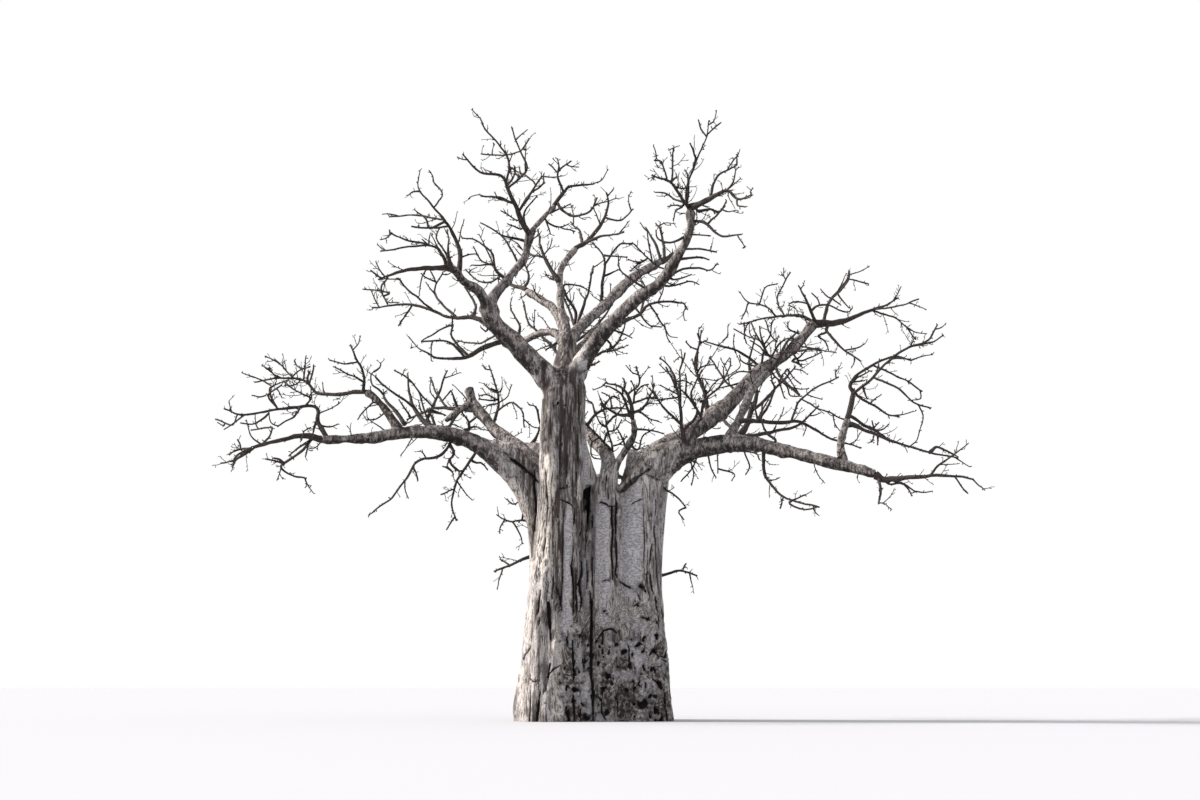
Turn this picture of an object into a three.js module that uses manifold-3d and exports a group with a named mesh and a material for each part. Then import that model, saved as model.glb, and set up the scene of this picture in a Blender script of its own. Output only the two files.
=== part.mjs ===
// A bare baobab: a trunk of fused stems, its tapering boughs and its masses of leafless twigs.
import * as THREE from "three";
import { mergeVertices } from "three/addons/utils/BufferGeometryUtils.js";
import Module from "manifold-3d";

const wasm = await Module();
wasm.setup();

// The tree is laid out in metres from the middle of its foot, and built in millimetres.
const METRE = 1000;
const TRUNK_WIDTH = 4.8; // across the root flare at the ground
const CUT_DEPTH = 0.5; // how far the stems run below the ground before the flat cut
const GAP = 0.0003; // clear space between two pieces that meet

// Depth is laid out along the lines of sight of an eye that looks at the tree from here.
const EYE = { across: 0.2, distance: 80, height: 1.6 };

// Sections: the number of sides, and the rings between one bend and the next.
const STEM_SIDES = 14;
const BOUGH_SIDES = 6;
const TWIG_SIDES = 3;
const STEEP = 0.9; // a heading nearer than this to the line of sight takes its side from the upright
const BOUGH_RINGS = 2;

// How a limb thins out from its root, and how far its collar flares there.
const TAPER = 1.15;
const COLLAR = 0.22;
const FORK_GIRTH = 0.78; // a fork's girth as a share of the limb's that it leaves
const TIP_GIRTH = 0.05;

// The stems of the trunk are fluted: ridges round the stem, as shares of its radius.
const FLUTES = 5;
const FLUTE_DEPTH = 0.055;

// The rule by which twigs branch.
const TWIG = {
  spacing: 1.1, // along the limb
  length: 0.95,
  girth: 0.05,
  lean: 0.95, // angle from the limb's heading, in radians
  roll: 2.4, // turn round the limb from one twig to the next
  rollDrift: 0.6,
  placeDrift: 0.3,
  lift: 0.25, // how much a twig turns up
  crook: 1.1, // how much it bends on the way
  elbow: 0.45, // where it bends
  shortest: 0.55, // length of the shortest twig as a share, and what chance adds to it
  longer: 0.6,
  fade: 0.3, // how much shorter the twigs at a limb's tip are
  tip: 0.6, // girth at the tip as a share
  clear: 0.07, // kept to every other limb
};
const PROBES = [0.34, 0.67, 1]; // where each stretch of a twig is tested for clearance
const ACROSS_TWIGS = [0.3, 1, 0.2]; // no limb heads this way, so it gives each one a side
const AXIS_SAMPLES = 80;

// The trunk: each stem's bends as [across, up, away, girth].
const stems = {
  column: [
    [-1.17, -CUT_DEPTH, -0.7, 2.55],
    [-1.13, 0.9, -0.75, 2.2],
    [-1.07, 2.4, -0.82, 1.95],
    [-1.03, 3.9, -0.88, 1.8],
    [-0.98, 5.6, -0.9, 1.5],
    [-0.93, 7.3, -0.9, 1.42],
    [-0.95, 9.0, -0.9, 1.32],
    [-0.88, 9.95, -0.9, 1.28],
    [-0.85, 10.4, -0.9, 0.85],
  ],
  shoulder: [
    [-1.1, -CUT_DEPTH, 0.3, 2.4],
    [-1.1, 2.2, 0.3, 1.85],
    [-1.12, 4.4, 0.2, 1.66],
    [-1.25, 5.9, 0.12, 1.55],
    [-1.75, 6.8, 0, 1.25],
    [-2.3, 7.37, -0.12, 0.94],
    [-2.75, 7.74, -0.25, 0.7],
  ],
  narrow: [
    [0.45, -CUT_DEPTH, -0.95, 1.25],
    [0.42, 2.2, -1.05, 0.92],
    [0.4, 4.6, -1.02, 0.82],
    [0.38, 6.6, -0.85, 0.78],
    [0.5, 7.5, -0.72, 0.62],
  ],
  right: [
    [1.3, -CUT_DEPTH, -0.35, 2.2],
    [1.27, 1.6, -0.42, 1.75],
    [1.22, 4.2, -0.48, 1.55],
    [1.25, 6.0, -0.45, 1.5],
    [1.42, 6.9, -0.42, 1.3],
    [1.75, 7.42, -0.42, 0.92],
    [2.1, 7.68, -0.45, 0.68],
  ],
  outer: [
    [1.88, -CUT_DEPTH, 0.15, 1.1],
    [1.8, 1.8, 0.1, 0.82],
    [1.72, 4.2, 0.05, 0.66],
    [1.78, 5.8, 0, 0.66],
    [1.9, 6.9, -0.05, 0.62],
    [2.12, 7.45, -0.1, 0.45],
  ],
  core: [
    [0.05, -CUT_DEPTH, 0.3, 3.9],
    [0.02, 2.4, 0.4, 3.3],
    [0.05, 5.2, 0.4, 3.0],
    [0.12, 6.8, 0.5, 2.0],
  ],
  backLeft: [
    [-0.8, -CUT_DEPTH, 1.35, 2.2],
    [-0.72, 2.6, 1.3, 1.75],
    [-0.62, 5.4, 1.25, 1.5],
    [-0.62, 7.0, 1.45, 1.2],
    [-0.85, 7.9, 1.85, 0.8],
  ],
  backRight: [
    [1.05, -CUT_DEPTH, 1.3, 2.2],
    [1.0, 2.6, 1.25, 1.75],
    [1.0, 5.4, 1.15, 1.5],
    [1.25, 6.8, 1.3, 1.2],
    [1.75, 7.55, 1.7, 0.8],
  ],
  foot: [
    [-2.08, -CUT_DEPTH, -0.6, 0.75],
    [-2.02, 0.7, -0.6, 0.55],
    [-1.8, 1.7, -0.62, 0.25],
  ],
};

// The boughs, each after the one that it grows from: its girth at root and tip, and its bends.
// A bough marked tip carries on from its parent's tip; the others leave its side.
const boughs = [
  { name: "left_bough", on: "trunk", girth: [0.6, 0.24], bends: [
    [-2.45, 7.45, -0.18], [-3.4, 8.2, -0.5], [-4.3, 8.56, -0.9], [-5.5, 8.62, -1.5], [-6.8, 8.45, -2.3],
    [-8.2, 8.4, -3.0],
  ] },
  { name: "left_rise", on: "left_bough", girth: [0.23, 0.15], bends: [
    [-5.8, 8.6], [-6.15, 9.15, -1.3], [-6.5, 9.6, -0.9], [-6.8, 9.82, -0.5],
  ] },
  { name: "broken_bough", on: "trunk", girth: [0.46, 0.27], bends: [
    [-1.5, 7.2, 0.6], [-2.1, 8.0, 1.0], [-2.6, 8.4, 1.4], [-3.1, 8.85, 1.8], [-3.55, 9.4, 2.1],
    [-3.76, 9.92, 2.3],
  ] },
  { name: "broken_stub", on: "broken_bough", girth: [0.22, 0.19], bends: [
    [-3.68, 9.55], [-4.1, 9.25, 1.85], [-4.45, 8.97, 1.75],
  ] },
  { name: "upper_left_bough", on: "trunk", girth: [0.66, 0.46], bends: [
    [-1.0, 9.75, -0.95], [-1.65, 10.55, -1.15], [-2.4, 11.35, -1.45], [-3.05, 12.0, -1.7],
    [-3.15, 12.45, -1.75],
  ] },
  { name: "upper_left_fork", on: "upper_left_bough", girth: [0.3, 0.22], bends: [
    [-3.12, 12.3], [-3.45, 12.9, -2.1], [-3.9, 13.2, -2.8], [-4.25, 13.6, -3.4],
  ] },
  { name: "upper_left_rise", on: "upper_left_bough", tip: true, girth: [0.34, 0.2], bends: [
    [-2.95, 12.85, -1.6], [-2.45, 13.45, -1.4], [-2.05, 14.0, -1.3], [-1.95, 14.7, -1.5],
  ] },
  { name: "upper_left_arm", on: "upper_left_rise", girth: [0.19, 0.15], bends: [
    [-1.96, 14.55], [-1.72, 14.95, -1.1], [-1.2, 15.5, -0.5],
  ] },
  { name: "central_stem", on: "trunk", girth: [0.62, 0.48], bends: [
    [-0.92, 9.95, -0.8], [-0.88, 10.5, -0.72], [-0.8, 11.1, -0.62], [-0.76, 11.6, -0.55],
  ] },
  { name: "central_rise", on: "central_stem", tip: true, girth: [0.27, 0.18], bends: [
    [-0.98, 12.4, -0.2], [-1.0, 13.1, 0.2], [-0.98, 13.6, 0.5], [-0.55, 14.2, 1.0],
  ] },
  { name: "central_left_limb", on: "central_stem", girth: [0.27, 0.18], bends: [
    [-0.76, 11.35], [-1.15, 12.3, 0.6], [-1.6, 12.65, 1.3], [-2.0, 12.9, 2.0],
  ] },
  { name: "central_low_limb", on: "central_stem", girth: [0.28, 0.18], bends: [
    [-0.8, 11.1], [-1.1, 11.6, 0.2], [-1.5, 11.65, 1.0], [-2.1, 11.4, 1.9],
  ] },
  { name: "inner_right_bough", on: "central_stem", girth: [0.37, 0.24], bends: [
    [-0.76, 11.35], [-0.4, 11.82, 0.1], [0.2, 12.35, 0.9], [0.95, 13.1, 1.9], [1.4, 13.46, 2.5],
    [2.0, 13.8, 3.2],
  ] },
  { name: "inner_low_bough", on: "central_stem", girth: [0.25, 0.16], bends: [
    [-0.8, 10.85], [-0.35, 11.25, 0.3], [0.2, 11.85, 1.4], [0.8, 11.9, 2.4],
  ] },
  { name: "right_crown_bough", on: "trunk", girth: [0.54, 0.22], bends: [
    [-0.78, 9.85, -1.05], [-0.28, 10.8, -1.3], [0.2, 11.55, -1.6], [0.75, 12.15, -1.9], [1.4, 12.75, -2.2],
    [2.05, 13.2, -2.5], [2.6, 14.05, -2.9], [2.92, 14.75, -3.1], [2.95, 15.35, -3.2],
  ] },
  { name: "notch_limb", on: "trunk", girth: [0.24, 0.15], bends: [
    [0.52, 7.3, -0.72], [0.88, 7.95, -0.95], [1.2, 8.5, -1.3], [1.2, 9.0, -1.6],
  ] },
  { name: "notch_bough", on: "trunk", girth: [0.46, 0.3], bends: [
    [0.5, 7.3, -0.65], [0.42, 7.9, -0.35], [0.05, 8.35, 0.3], [-0.25, 8.7, 1.0], [-0.75, 9.5, 2.3],
    [-0.8, 10.3, 3.4],
  ] },
  { name: "right_bough", on: "trunk", girth: [0.76, 0.44], bends: [
    [1.85, 7.5, -0.43], [2.6, 7.98, -0.7], [3.3, 8.17, -1.0], [4.3, 8.3, -1.5], [5.0, 8.25, -1.9],
  ] },
  { name: "right_bough_outer", on: "right_bough", tip: true, girth: [0.42, 0.3], bends: [
    [5.9, 8.03, -2.4], [6.9, 7.77, -2.9], [8.0, 7.5, -3.3], [8.45, 7.36, -3.45],
  ] },
  { name: "right_upright", on: "right_bough_outer", girth: [0.25, 0.19], bends: [
    [7.55, 7.63], [7.45, 8.1, -2.9], [7.5, 8.5, -2.7], [7.66, 8.98, -2.5],
  ] },
  { name: "high_right_bough", on: "trunk", girth: [0.68, 0.3], bends: [
    [1.55, 7.3, 0], [2.25, 8.08, 0.45], [2.9, 8.62, 0.9], [3.5, 9.02, 1.4], [4.3, 9.72, 2.0],
    [4.9, 10.36, 2.5], [5.5, 10.78, 2.9], [6.05, 11.2, 3.2], [6.65, 11.9, 3.5],
  ] },
  { name: "right_inner_limb", on: "right_bough", girth: [0.31, 0.21], bends: [
    [4.0, 8.27], [4.25, 8.75, -0.9], [4.55, 9.35, -0.3], [4.75, 9.85, 0.2], [5.25, 10.4, 0.8],
  ] },
  { name: "back_left_bough", on: "trunk", girth: [0.5, 0.28], bends: [
    [-0.8, 7.75, 1.8], [-1.8, 8.1, 2.9], [-3.2, 8.27, 4.1], [-4.4, 8.55, 5.1],
  ] },
  { name: "back_right_bough", on: "trunk", girth: [0.5, 0.28], bends: [
    [1.65, 7.45, 1.65], [2.4, 7.95, 2.6], [3.3, 8.17, 3.8], [4.2, 8.3, 5.0],
  ] },
];

// The masses of twigs: a stem with its girth at the root, its bends after the root, and forks.
// Depth is counted from the root. A fork is [limb it leaves, share along that limb, bends]:
// limb 0 is the stem and the forks follow. The root is the bough's tip unless it is named.
const masses = [
  { name: "left_tip_twigs", on: "left_bough", girth: 0.13, stem: [
    [-8.8, 8.5, -0.3], [-10.0, 8.25, -0.8], [-10.6, 8.0, -1.0], [-10.85, 7.7, -1.1],
  ], forks: [
    [0, 0.96, [[-11.2, 7.68, -1.0]]],
    [0, 0.1, [[-8.75, 8.1, 0.2], [-9.4, 7.6, 0.6], [-9.05, 7.35, 0.9], [-8.6, 7.25, 1.2]]],
    [2, 0.45, [[-9.9, 7.8, 0.2]]],
    [0, 0.5, [[-9.7, 8.75, 0.3], [-10.3, 8.7, 0.9]]],
  ] },
  { name: "left_arch_twigs", on: "left_bough", root: [-8.05, 8.4], girth: 0.15, stem: [
    [-8.25, 8.9, 0.3], [-8.4, 9.38, 0.6], [-9.4, 9.35, 0.5], [-10.5, 9.13, 0.2], [-11.15, 9.35, 0],
  ], forks: [
    [0, 0.86, [[-10.9, 8.85, 0.6], [-11.4, 9.0, 0.9]]],
    [0, 0.62, [[-9.8, 9.75, -0.2], [-9.4, 10.05, -0.6]]],
    [0, 0.5, [[-9.0, 9.1, -0.4], [-9.5, 8.8, -0.7]]],
  ] },
  { name: "left_level_twigs", on: "left_rise", girth: 0.14, stem: [
    [-7.6, 9.8, 0.4], [-8.3, 9.78, 0.7], [-8.65, 10.15, 0.8], [-9.3, 10.3, 1.0], [-10.2, 10.15, 1.4],
  ], forks: [
    [0, 0.03, [[-6.92, 10.3, -0.3], [-7.15, 10.85, -0.6], [-7.3, 11.25, -0.6]]],
    [1, 0.6, [[-7.6, 10.7, -1.0], [-8.0, 10.8, -1.2]]],
    [0, 0.55, [[-8.45, 10.65, 0.3]]],
    [0, 0.72, [[-9.3, 10.55, 1.3], [-9.6, 10.8, 1.6]]],
  ] },
  { name: "left_inner_twigs", on: "broken_bough", root: [-3.5, 9.3], girth: 0.15, stem: [
    [-4.3, 9.35, 0.7], [-4.95, 9.3, 1.2], [-5.65, 9.0, 1.8],
  ], forks: [
    [0, 0.6, [[-5.25, 9.8, 1.0], [-5.6, 10.25, 0.8], [-6.0, 10.5, 1.2]]],
    [0, 0.4, [[-4.75, 9.8, 1.6], [-4.9, 10.3, 2.4]]],
  ] },
  { name: "broken_bough_twigs", on: "broken_bough", root: [-3.05, 8.8], girth: 0.1, stem: [
    [-2.85, 9.4, 0.2], [-2.92, 10.0, 0.5], [-3.15, 10.65, 0.8],
  ], forks: [
    [0, 0.25, [[-2.5, 9.5, -0.3], [-2.2, 9.35, -0.6], [-2.1, 8.75, -0.8]]],
    [0, 0.55, [[-3.3, 10.1, 1.2]]],
  ] },
  { name: "left_hanging_twigs", on: "left_bough", root: [-4.15, 8.5], girth: 0.1, stem: [
    [-4.55, 7.93, -0.3], [-5.25, 7.72, -0.8], [-5.75, 7.1, -1.2], [-6.05, 6.65, -1.3], [-6.55, 6.3, -1.4],
  ], forks: [
    [0, 0.45, [[-5.3, 7.2, -0.4]]],
  ] },
  { name: "left_low_twigs", on: "left_bough", root: [-3.4, 8.2], girth: 0.1, stem: [
    [-3.75, 7.7, 0.3], [-4.1, 7.15, 0.6], [-4.25, 6.55, 0.7], [-4.1, 5.95, 0.8],
  ], forks: [
    [0, 0.95, [[-4.4, 5.7, 1.0]]],
    [0, 0.6, [[-4.6, 6.75, 0.2]]],
  ] },
  { name: "trunk_left_twigs", on: "trunk", root: [-1.55, 5.05, 0], girth: 0.13, stem: [
    [-2.35, 4.7, -0.1], [-3.0, 4.4, -0.2],
  ], forks: [
    [0, 0.62, [[-2.8, 4.8, 0.2]]],
  ] },
  { name: "upper_left_low_twigs", on: "upper_left_fork", girth: 0.17, stem: [
    [-4.7, 13.62, -0.4], [-5.45, 13.6, -0.9], [-6.1, 13.4, -1.3], [-6.5, 13.25, -1.6],
  ], forks: [
    [0, 0.95, [[-6.75, 13.55, -1.8]]],
    [0, 0.8, [[-6.4, 12.95, -0.8], [-6.2, 12.55, -0.6]]],
    [0, 0.1, [[-4.6, 14.0, -0.2], [-5.0, 14.3, 0], [-6.45, 14.15, 0.4]]],
    [3, 0.6, [[-5.6, 14.5, -0.4], [-6.15, 14.7, -0.7]]],
    [0, 0.04, [[-4.38, 13.98, -0.7], [-4.4, 14.4, -1.0]]],
  ] },
  { name: "upper_left_rod_twigs", on: "upper_left_fork", root: [-4.05, 13.4], girth: 0.17, stem: [
    [-4.02, 14.0, 0.2], [-4.25, 14.7, 0.3], [-4.6, 15.15, 0.2], [-5.3, 16.0, -0.2],
  ], forks: [
    [0, 0.72, [[-5.2, 15.22, 0.8], [-6.2, 15.2, 1.4]]],
    [0, 0.6, [[-5.0, 14.85, -0.7], [-5.5, 14.9, -1.2]]],
    [0, 0.85, [[-4.6, 15.9, 0.7], [-4.9, 16.3, 0.9]]],
  ] },
  { name: "upper_left_top_twigs", on: "upper_left_rise", girth: 0.15, stem: [
    [-2.25, 15.3, -0.3], [-2.55, 15.95, -0.6], [-2.8, 16.4, -0.8], [-3.5, 16.62, -1.1], [-4.0, 17.15, -1.3],
  ], forks: [
    [0, 0.45, [[-2.2, 16.35, -0.3], [-2.0, 16.7, 0.1], [-2.25, 17.2, 0.4], [-2.5, 17.95, 0.5]]],
    [1, 0.75, [[-2.8, 17.05, 1.0], [-3.4, 17.15, 1.4]]],
    [1, 0.75, [[-1.95, 17.6, 0]]],
    [0, 0.5, [[-2.6, 16.9, -1.2], [-3.0, 17.55, -1.6], [-3.4, 18.05, -1.8]]],
    [0, 0.3, [[-2.9, 15.8, -1.1], [-3.4, 15.8, -1.6]]],
    [0, 0.22, [[-1.95, 15.9, -0.9], [-1.55, 16.45, -1.3]]],
  ] },
  { name: "upper_left_arm_twigs", on: "upper_left_arm", girth: 0.14, stem: [
    [-0.95, 15.9, 0.3], [-0.65, 16.15, 0.6], [0.05, 16.2, 1.2],
  ], forks: [
    [0, 0.35, [[-1.1, 16.55, -0.2], [-0.7, 16.9, -0.5]]],
    [0, 0.12, [[-0.7, 15.25, -0.4], [-0.1, 15.35, -0.9], [0.1, 15.75, -1.2]]],
    [1, 0.5, [[-1.35, 16.8, 0.2]]],
  ] },
  { name: "knuckle_twigs", on: "upper_left_bough", root: [-3.0, 11.95], girth: 0.17, stem: [
    [-3.7, 12.1, 0.5], [-4.3, 12.1, 0.9], [-5.5, 12.5, 1.6], [-6.7, 12.45, 2.2],
  ], forks: [
    [0, 0.45, [[-4.8, 12.85, 1.9], [-4.55, 13.5, 2.3]]],
    [0, 0.22, [[-3.6, 12.5, 1.3], [-4.0, 13.25, 2.1]]],
    [0, 0.62, [[-5.65, 13.0, 1.0], [-5.9, 13.3, 0.8]]],
    [0, 0.75, [[-5.9, 11.85, 2.3]]],
  ] },
  { name: "under_knuckle_twigs", on: "upper_left_bough", root: [-2.55, 11.5], girth: 0.18, stem: [
    [-3.4, 11.15, -0.5], [-3.9, 10.87, -0.9], [-4.6, 10.85, -1.3], [-5.1, 11.05, -1.5],
  ], forks: [
    [0, 0.42, [[-4.25, 11.5, -0.4], [-4.2, 11.9, -0.6]]],
    [0, 0.48, [[-4.45, 11.4, -1.5], [-5.2, 11.4, -2.0]]],
  ] },
  { name: "central_top_twigs", on: "central_rise", girth: 0.15, stem: [
    [-0.1, 14.5, 0.4], [0.3, 15.05, 0.8], [0.45, 15.6, 0.9], [0.4, 15.95, 1.0],
  ], forks: [
    [0, 0.9, [[0.62, 16.05, 1.4]]],
    [0, 0.55, [[0.85, 15.12, 1.4], [1.2, 15.4, 1.9]]],
    [0, 0.16, [[0.3, 14.62, -0.2], [0.95, 14.72, -0.7]]],
    [0, 0.12, [[-0.4, 14.7, 0.9], [-0.7, 15.05, 1.4]]],
  ] },
  { name: "central_link_twigs", on: "central_rise", root: [-1.0, 13.15], girth: 0.15, stem: [
    [-1.4, 13.75, 0.4], [-1.6, 14.3, 0.9], [-1.7, 14.8, 1.5],
  ], forks: [
    [0, 0.45, [[-1.9, 14.0, 1.2], [-2.3, 14.3, 1.9]]],
  ] },
  { name: "central_left_twigs", on: "central_left_limb", girth: 0.15, stem: [
    [-2.5, 13.15, 0.9], [-2.9, 13.5, 1.9], [-3.2, 14.1, 2.8],
  ], forks: [
    [0, 0.08, [[-1.95, 13.3, 0.6], [-2.1, 13.8, 1.0]]],
    [0, 0.55, [[-3.4, 13.2, 2.4], [-3.9, 13.6, 3.0]]],
  ] },
  { name: "central_low_twigs", on: "central_low_limb", girth: 0.15, stem: [
    [-2.7, 11.45, 1.0], [-3.2, 11.8, 2.0], [-3.7, 12.3, 2.8],
  ], forks: [
    [0, 0.1, [[-2.25, 11.9, 0.6], [-2.5, 12.35, 0.9]]],
    [0, 0.5, [[-3.5, 11.3, 2.3], [-4.1, 11.4, 3.0]]],
    [0, 0.65, [[-2.9, 12.4, 3.0]]],
  ] },
  { name: "inner_right_twigs", on: "inner_right_bough", girth: 0.16, stem: [
    [2.5, 14.05, 0.8], [2.9, 14.45, 1.6], [3.1, 15.0, 2.2],
  ], forks: [
    [0, 0.05, [[1.85, 14.4, 0.4], [1.6, 14.85, 0.8]]],
    [0, 0.1, [[2.1, 14.6, 1.3], [1.9, 15.0, 2.0]]],
    [0, 0.45, [[3.2, 14.2, 0.9], [3.7, 14.1, 0.8]]],
  ] },
  { name: "inner_low_twigs", on: "inner_low_bough", girth: 0.13, stem: [
    [1.35, 12.2, 0.7], [1.7, 12.5, 1.2], [2.6, 12.6, 2.2], [2.85, 12.35, 2.8],
  ], forks: [
    [0, 0.5, [[2.0, 12.05, 2.0], [2.2, 11.7, 2.4]]],
    [0, 0.3, [[1.6, 12.9, 1.8], [1.5, 13.2, 2.6]]],
  ] },
  { name: "right_crown_twigs", on: "right_crown_bough", girth: 0.16, stem: [
    [2.85, 15.75, -0.2], [2.9, 16.3, -0.3], [3.15, 16.95, -0.2], [3.45, 17.65, 0.1], [3.5, 18.2, 0.2],
  ], forks: [
    [0, 0.08, [[2.6, 15.9, -0.8], [2.3, 16.3, -1.2], [1.75, 16.45, -1.6]]],
    [1, 0.7, [[2.1, 16.85, -1.9], [1.85, 16.95, -2.2]]],
    [0, 0.1, [[3.5, 15.75, 0.5], [3.75, 16.4, 1.0], [4.35, 16.75, 1.4]]],
    [3, 0.85, [[4.4, 17.15, 1.8]]],
    [0, 0.04, [[3.6, 15.8, -0.6], [4.05, 16.0, -1.0], [4.4, 15.7, -1.3], [4.8, 15.85, -1.6]]],
    [0, 0.6, [[2.9, 17.45, -0.8]]],
    [0, 0.82, [[3.85, 18.1, 0.8]]],
    [1, 0.6, [[2.4, 17.0, -0.8], [2.4, 17.3, -0.6]]],
  ] },
  { name: "right_crown_side_twigs", on: "right_crown_bough", root: [2.93, 15.05], girth: 0.11, stem: [
    [3.45, 14.95, -0.3], [3.85, 14.6, -0.6], [4.5, 14.65, -1.0],
  ], forks: [
    [0, 0.35, [[3.7, 15.2, 0.2], [4.0, 15.5, 0.6]]],
  ] },
  { name: "notch_twigs", on: "notch_limb", girth: 0.13, stem: [
    [1.1, 9.6, -0.3], [0.85, 10.0, -0.6], [0.35, 10.12, -0.9],
  ], forks: [
    [0, 0.1, [[1.6, 9.45, -0.5], [1.85, 10.05, -0.8]]],
    [0, 0.05, [[0.65, 9.2, -0.4], [0.2, 9.5, -0.7]]],
    [0, 0.45, [[1.4, 10.1, 0.1], [1.3, 10.6, 0.2]]],
  ] },
  { name: "notch_bough_twigs", on: "notch_bough", girth: 0.2, stem: [
    [-0.75, 11.0, 0.7], [-0.5, 11.8, 1.6], [-0.2, 12.8, 2.2], [0, 13.7, 2.4],
  ], forks: [
    [0, 0.15, [[-1.3, 11.3, 1.2], [-1.9, 11.9, 2.0], [-2.1, 12.6, 2.6]]],
    [0, 0.35, [[0.2, 12.0, 0.9], [0.7, 12.7, 1.3]]],
    [0, 0.5, [[-0.9, 12.7, 2.9], [-1.2, 13.5, 3.4]]],
    [0, 0.08, [[0, 10.9, 1.6], [0.7, 11.3, 2.9], [1.0, 12.0, 3.6]]],
  ] },
  { name: "right_shrub_twigs", on: "right_bough", root: [2.75, 8.05], girth: 0.16, stem: [
    [2.68, 8.7, -0.4], [2.6, 9.6, -0.9], [2.2, 10.6, -1.3],
  ], forks: [
    [0, 0.3, [[3.15, 9.2, -0.6], [2.95, 9.85, -1.0], [3.3, 10.5, -1.4]]],
    [0, 0.4, [[2.1, 9.4, -1.4], [1.8, 9.9, -1.9]]],
    [0, 0.6, [[2.6, 10.3, -0.5], [2.8, 11.0, -0.3]]],
  ] },
  { name: "high_right_shrub_twigs", on: "high_right_bough", root: [3.5, 9.05], girth: 0.16, stem: [
    [3.35, 9.8, 0.5], [3.1, 10.6, 1.0], [3.25, 11.7, 1.5],
  ], forks: [
    [0, 0.3, [[3.8, 10.2, 0.9], [4.4, 10.6, 1.3], [4.2, 11.2, 1.8]]],
    [0, 0.5, [[2.6, 10.9, 1.6], [2.3, 11.4, 2.2]]],
    [0, 0.55, [[3.7, 11.1, 0.4], [4.1, 11.6, 0.1]]],
  ] },
  { name: "right_tip_twigs", on: "right_bough_outer", girth: 0.17, stem: [
    [8.78, 7.2, -0.1], [9.6, 7.3, -0.4], [10.85, 7.3, -0.8], [11.45, 7.2, -1.0],
  ], forks: [
    [0, 0.75, [[11.25, 6.78, -0.4]]],
    [0, 0.3, [[9.35, 7.02, 0.3], [9.65, 6.8, 0.6]]],
    [0, 0.6, [[10.5, 7.7, -0.2], [10.85, 7.98, 0.2]]],
    [0, 0.1, [[8.62, 6.85, -0.5], [8.6, 6.45, -0.8]]],
  ] },
  { name: "right_upright_twigs", on: "right_upright", girth: 0.15, stem: [
    [7.82, 9.75, 0.3], [7.75, 10.05, 0.4], [8.1, 10.42, 0.7], [9.0, 10.92, 1.3], [9.6, 10.8, 1.7],
  ], forks: [
    [0, 0.22, [[8.3, 10.15, -0.2], [9.3, 11.1, -0.8], [10.1, 11.4, -1.2], [10.4, 11.9, -1.3]]],
    [0, 0.04, [[8.3, 8.75, 0.7], [9.05, 8.35, 1.3], [10.15, 8.0, 1.9], [11.0, 7.85, 2.3]]],
    [1, 0.3, [[9.2, 9.95, -0.7], [9.7, 9.5, -0.9], [10.15, 9.35, -0.9]]],
    [0, 0.35, [[8.15, 9.6, 1.0], [8.75, 9.2, 1.5], [9.2, 9.1, 1.9]]],
    [0, 0.68, [[9.2, 10.3, 1.5], [9.95, 9.9, 2.0]]],
  ] },
  { name: "right_hanging_twigs", on: "right_bough_outer", root: [5.15, 8.2], girth: 0.12, stem: [
    [5.15, 7.5, -0.3], [5.3, 7.1, -0.5], [5.8, 6.65, -0.9], [6.8, 6.35, -1.3],
  ], forks: [
    [0, 0.72, [[5.6, 6.35, -1.4]]],
    [0, 0.8, [[6.4, 6.75, -0.5]]],
  ] },
  { name: "high_right_twigs", on: "high_right_bough", girth: 0.17, stem: [
    [7.4, 11.95, 0.4], [8.0, 12.15, 0.6], [8.6, 12.4, 0.8], [9.25, 12.72, 1.0],
  ], forks: [
    [0, 0.72, [[9.2, 12.45, 0.3], [9.85, 12.65, 0]]],
    [0, 0.68, [[9.2, 12.05, 1.4], [9.75, 11.45, 1.9]]],
    [0, 0.06, [[6.1, 12.15, 0.6], [5.4, 12.1, 1.1], [4.4, 11.9, 1.7]]],
    [3, 0.62, [[5.2, 12.45, 0.7], [4.7, 12.58, 0.4]]],
    [3, 0.5, [[5.55, 12.7, 1.6], [5.95, 13.5, 2.0]]],
    [0, 0.03, [[6.45, 12.6, -0.5], [6.2, 13.1, -0.9]]],
    [0, 0.1, [[7.15, 12.6, 0.9], [7.65, 13.15, 1.4], [7.75, 13.55, 1.6]]],
    [7, 0.75, [[8.3, 13.15, 1.9]]],
    [0, 0.15, [[7.1, 11.65, -0.3], [7.55, 11.15, -0.6], [8.05, 10.75, -0.8]]],
  ] },
  { name: "right_tangle_twigs", on: "right_inner_limb", girth: 0.16, stem: [
    [5.6, 10.8, 0.2], [5.8, 11.3, 0.2], [6.2, 11.7, 0.3],
  ], forks: [
    [0, 0.2, [[5.75, 10.2, -0.4], [6.2, 9.75, -0.8]]],
    [0, 0.35, [[5.1, 11.0, -0.4], [4.6, 11.3, -0.7]]],
    [0, 0.5, [[6.3, 11.1, -0.5], [6.8, 11.1, -0.9]]],
  ] },
  { name: "right_middle_twigs", on: "right_inner_limb", root: [4.32, 8.9], girth: 0.16, stem: [
    [4.75, 8.97, -0.2], [5.6, 8.92, -0.2], [6.35, 8.9, 0.1], [7.1, 8.45, 0.5], [8.05, 8.15, 0.8],
  ], forks: [
    [0, 0.5, [[6.25, 9.6, 0.6], [6.8, 10.0, 1.1], [7.4, 10.3, 1.5]]],
    [1, 0.35, [[6.9, 9.3, 0.4], [7.65, 8.95, 0.3]]],
    [0, 0.25, [[5.3, 9.5, -0.8], [5.5, 10.0, -1.1]]],
  ] },
  { name: "trunk_right_twigs", on: "trunk", root: [1.8, 4.25, 0.1], girth: 0.1, stem: [
    [2.6, 4.45, 0], [3.1, 4.3, 0.1],
  ], forks: [
    [0, 0.6, [[2.8, 4.65, 0.4]]],
  ] },
  { name: "back_left_twigs", on: "back_left_bough", girth: 0.22, stem: [
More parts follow.
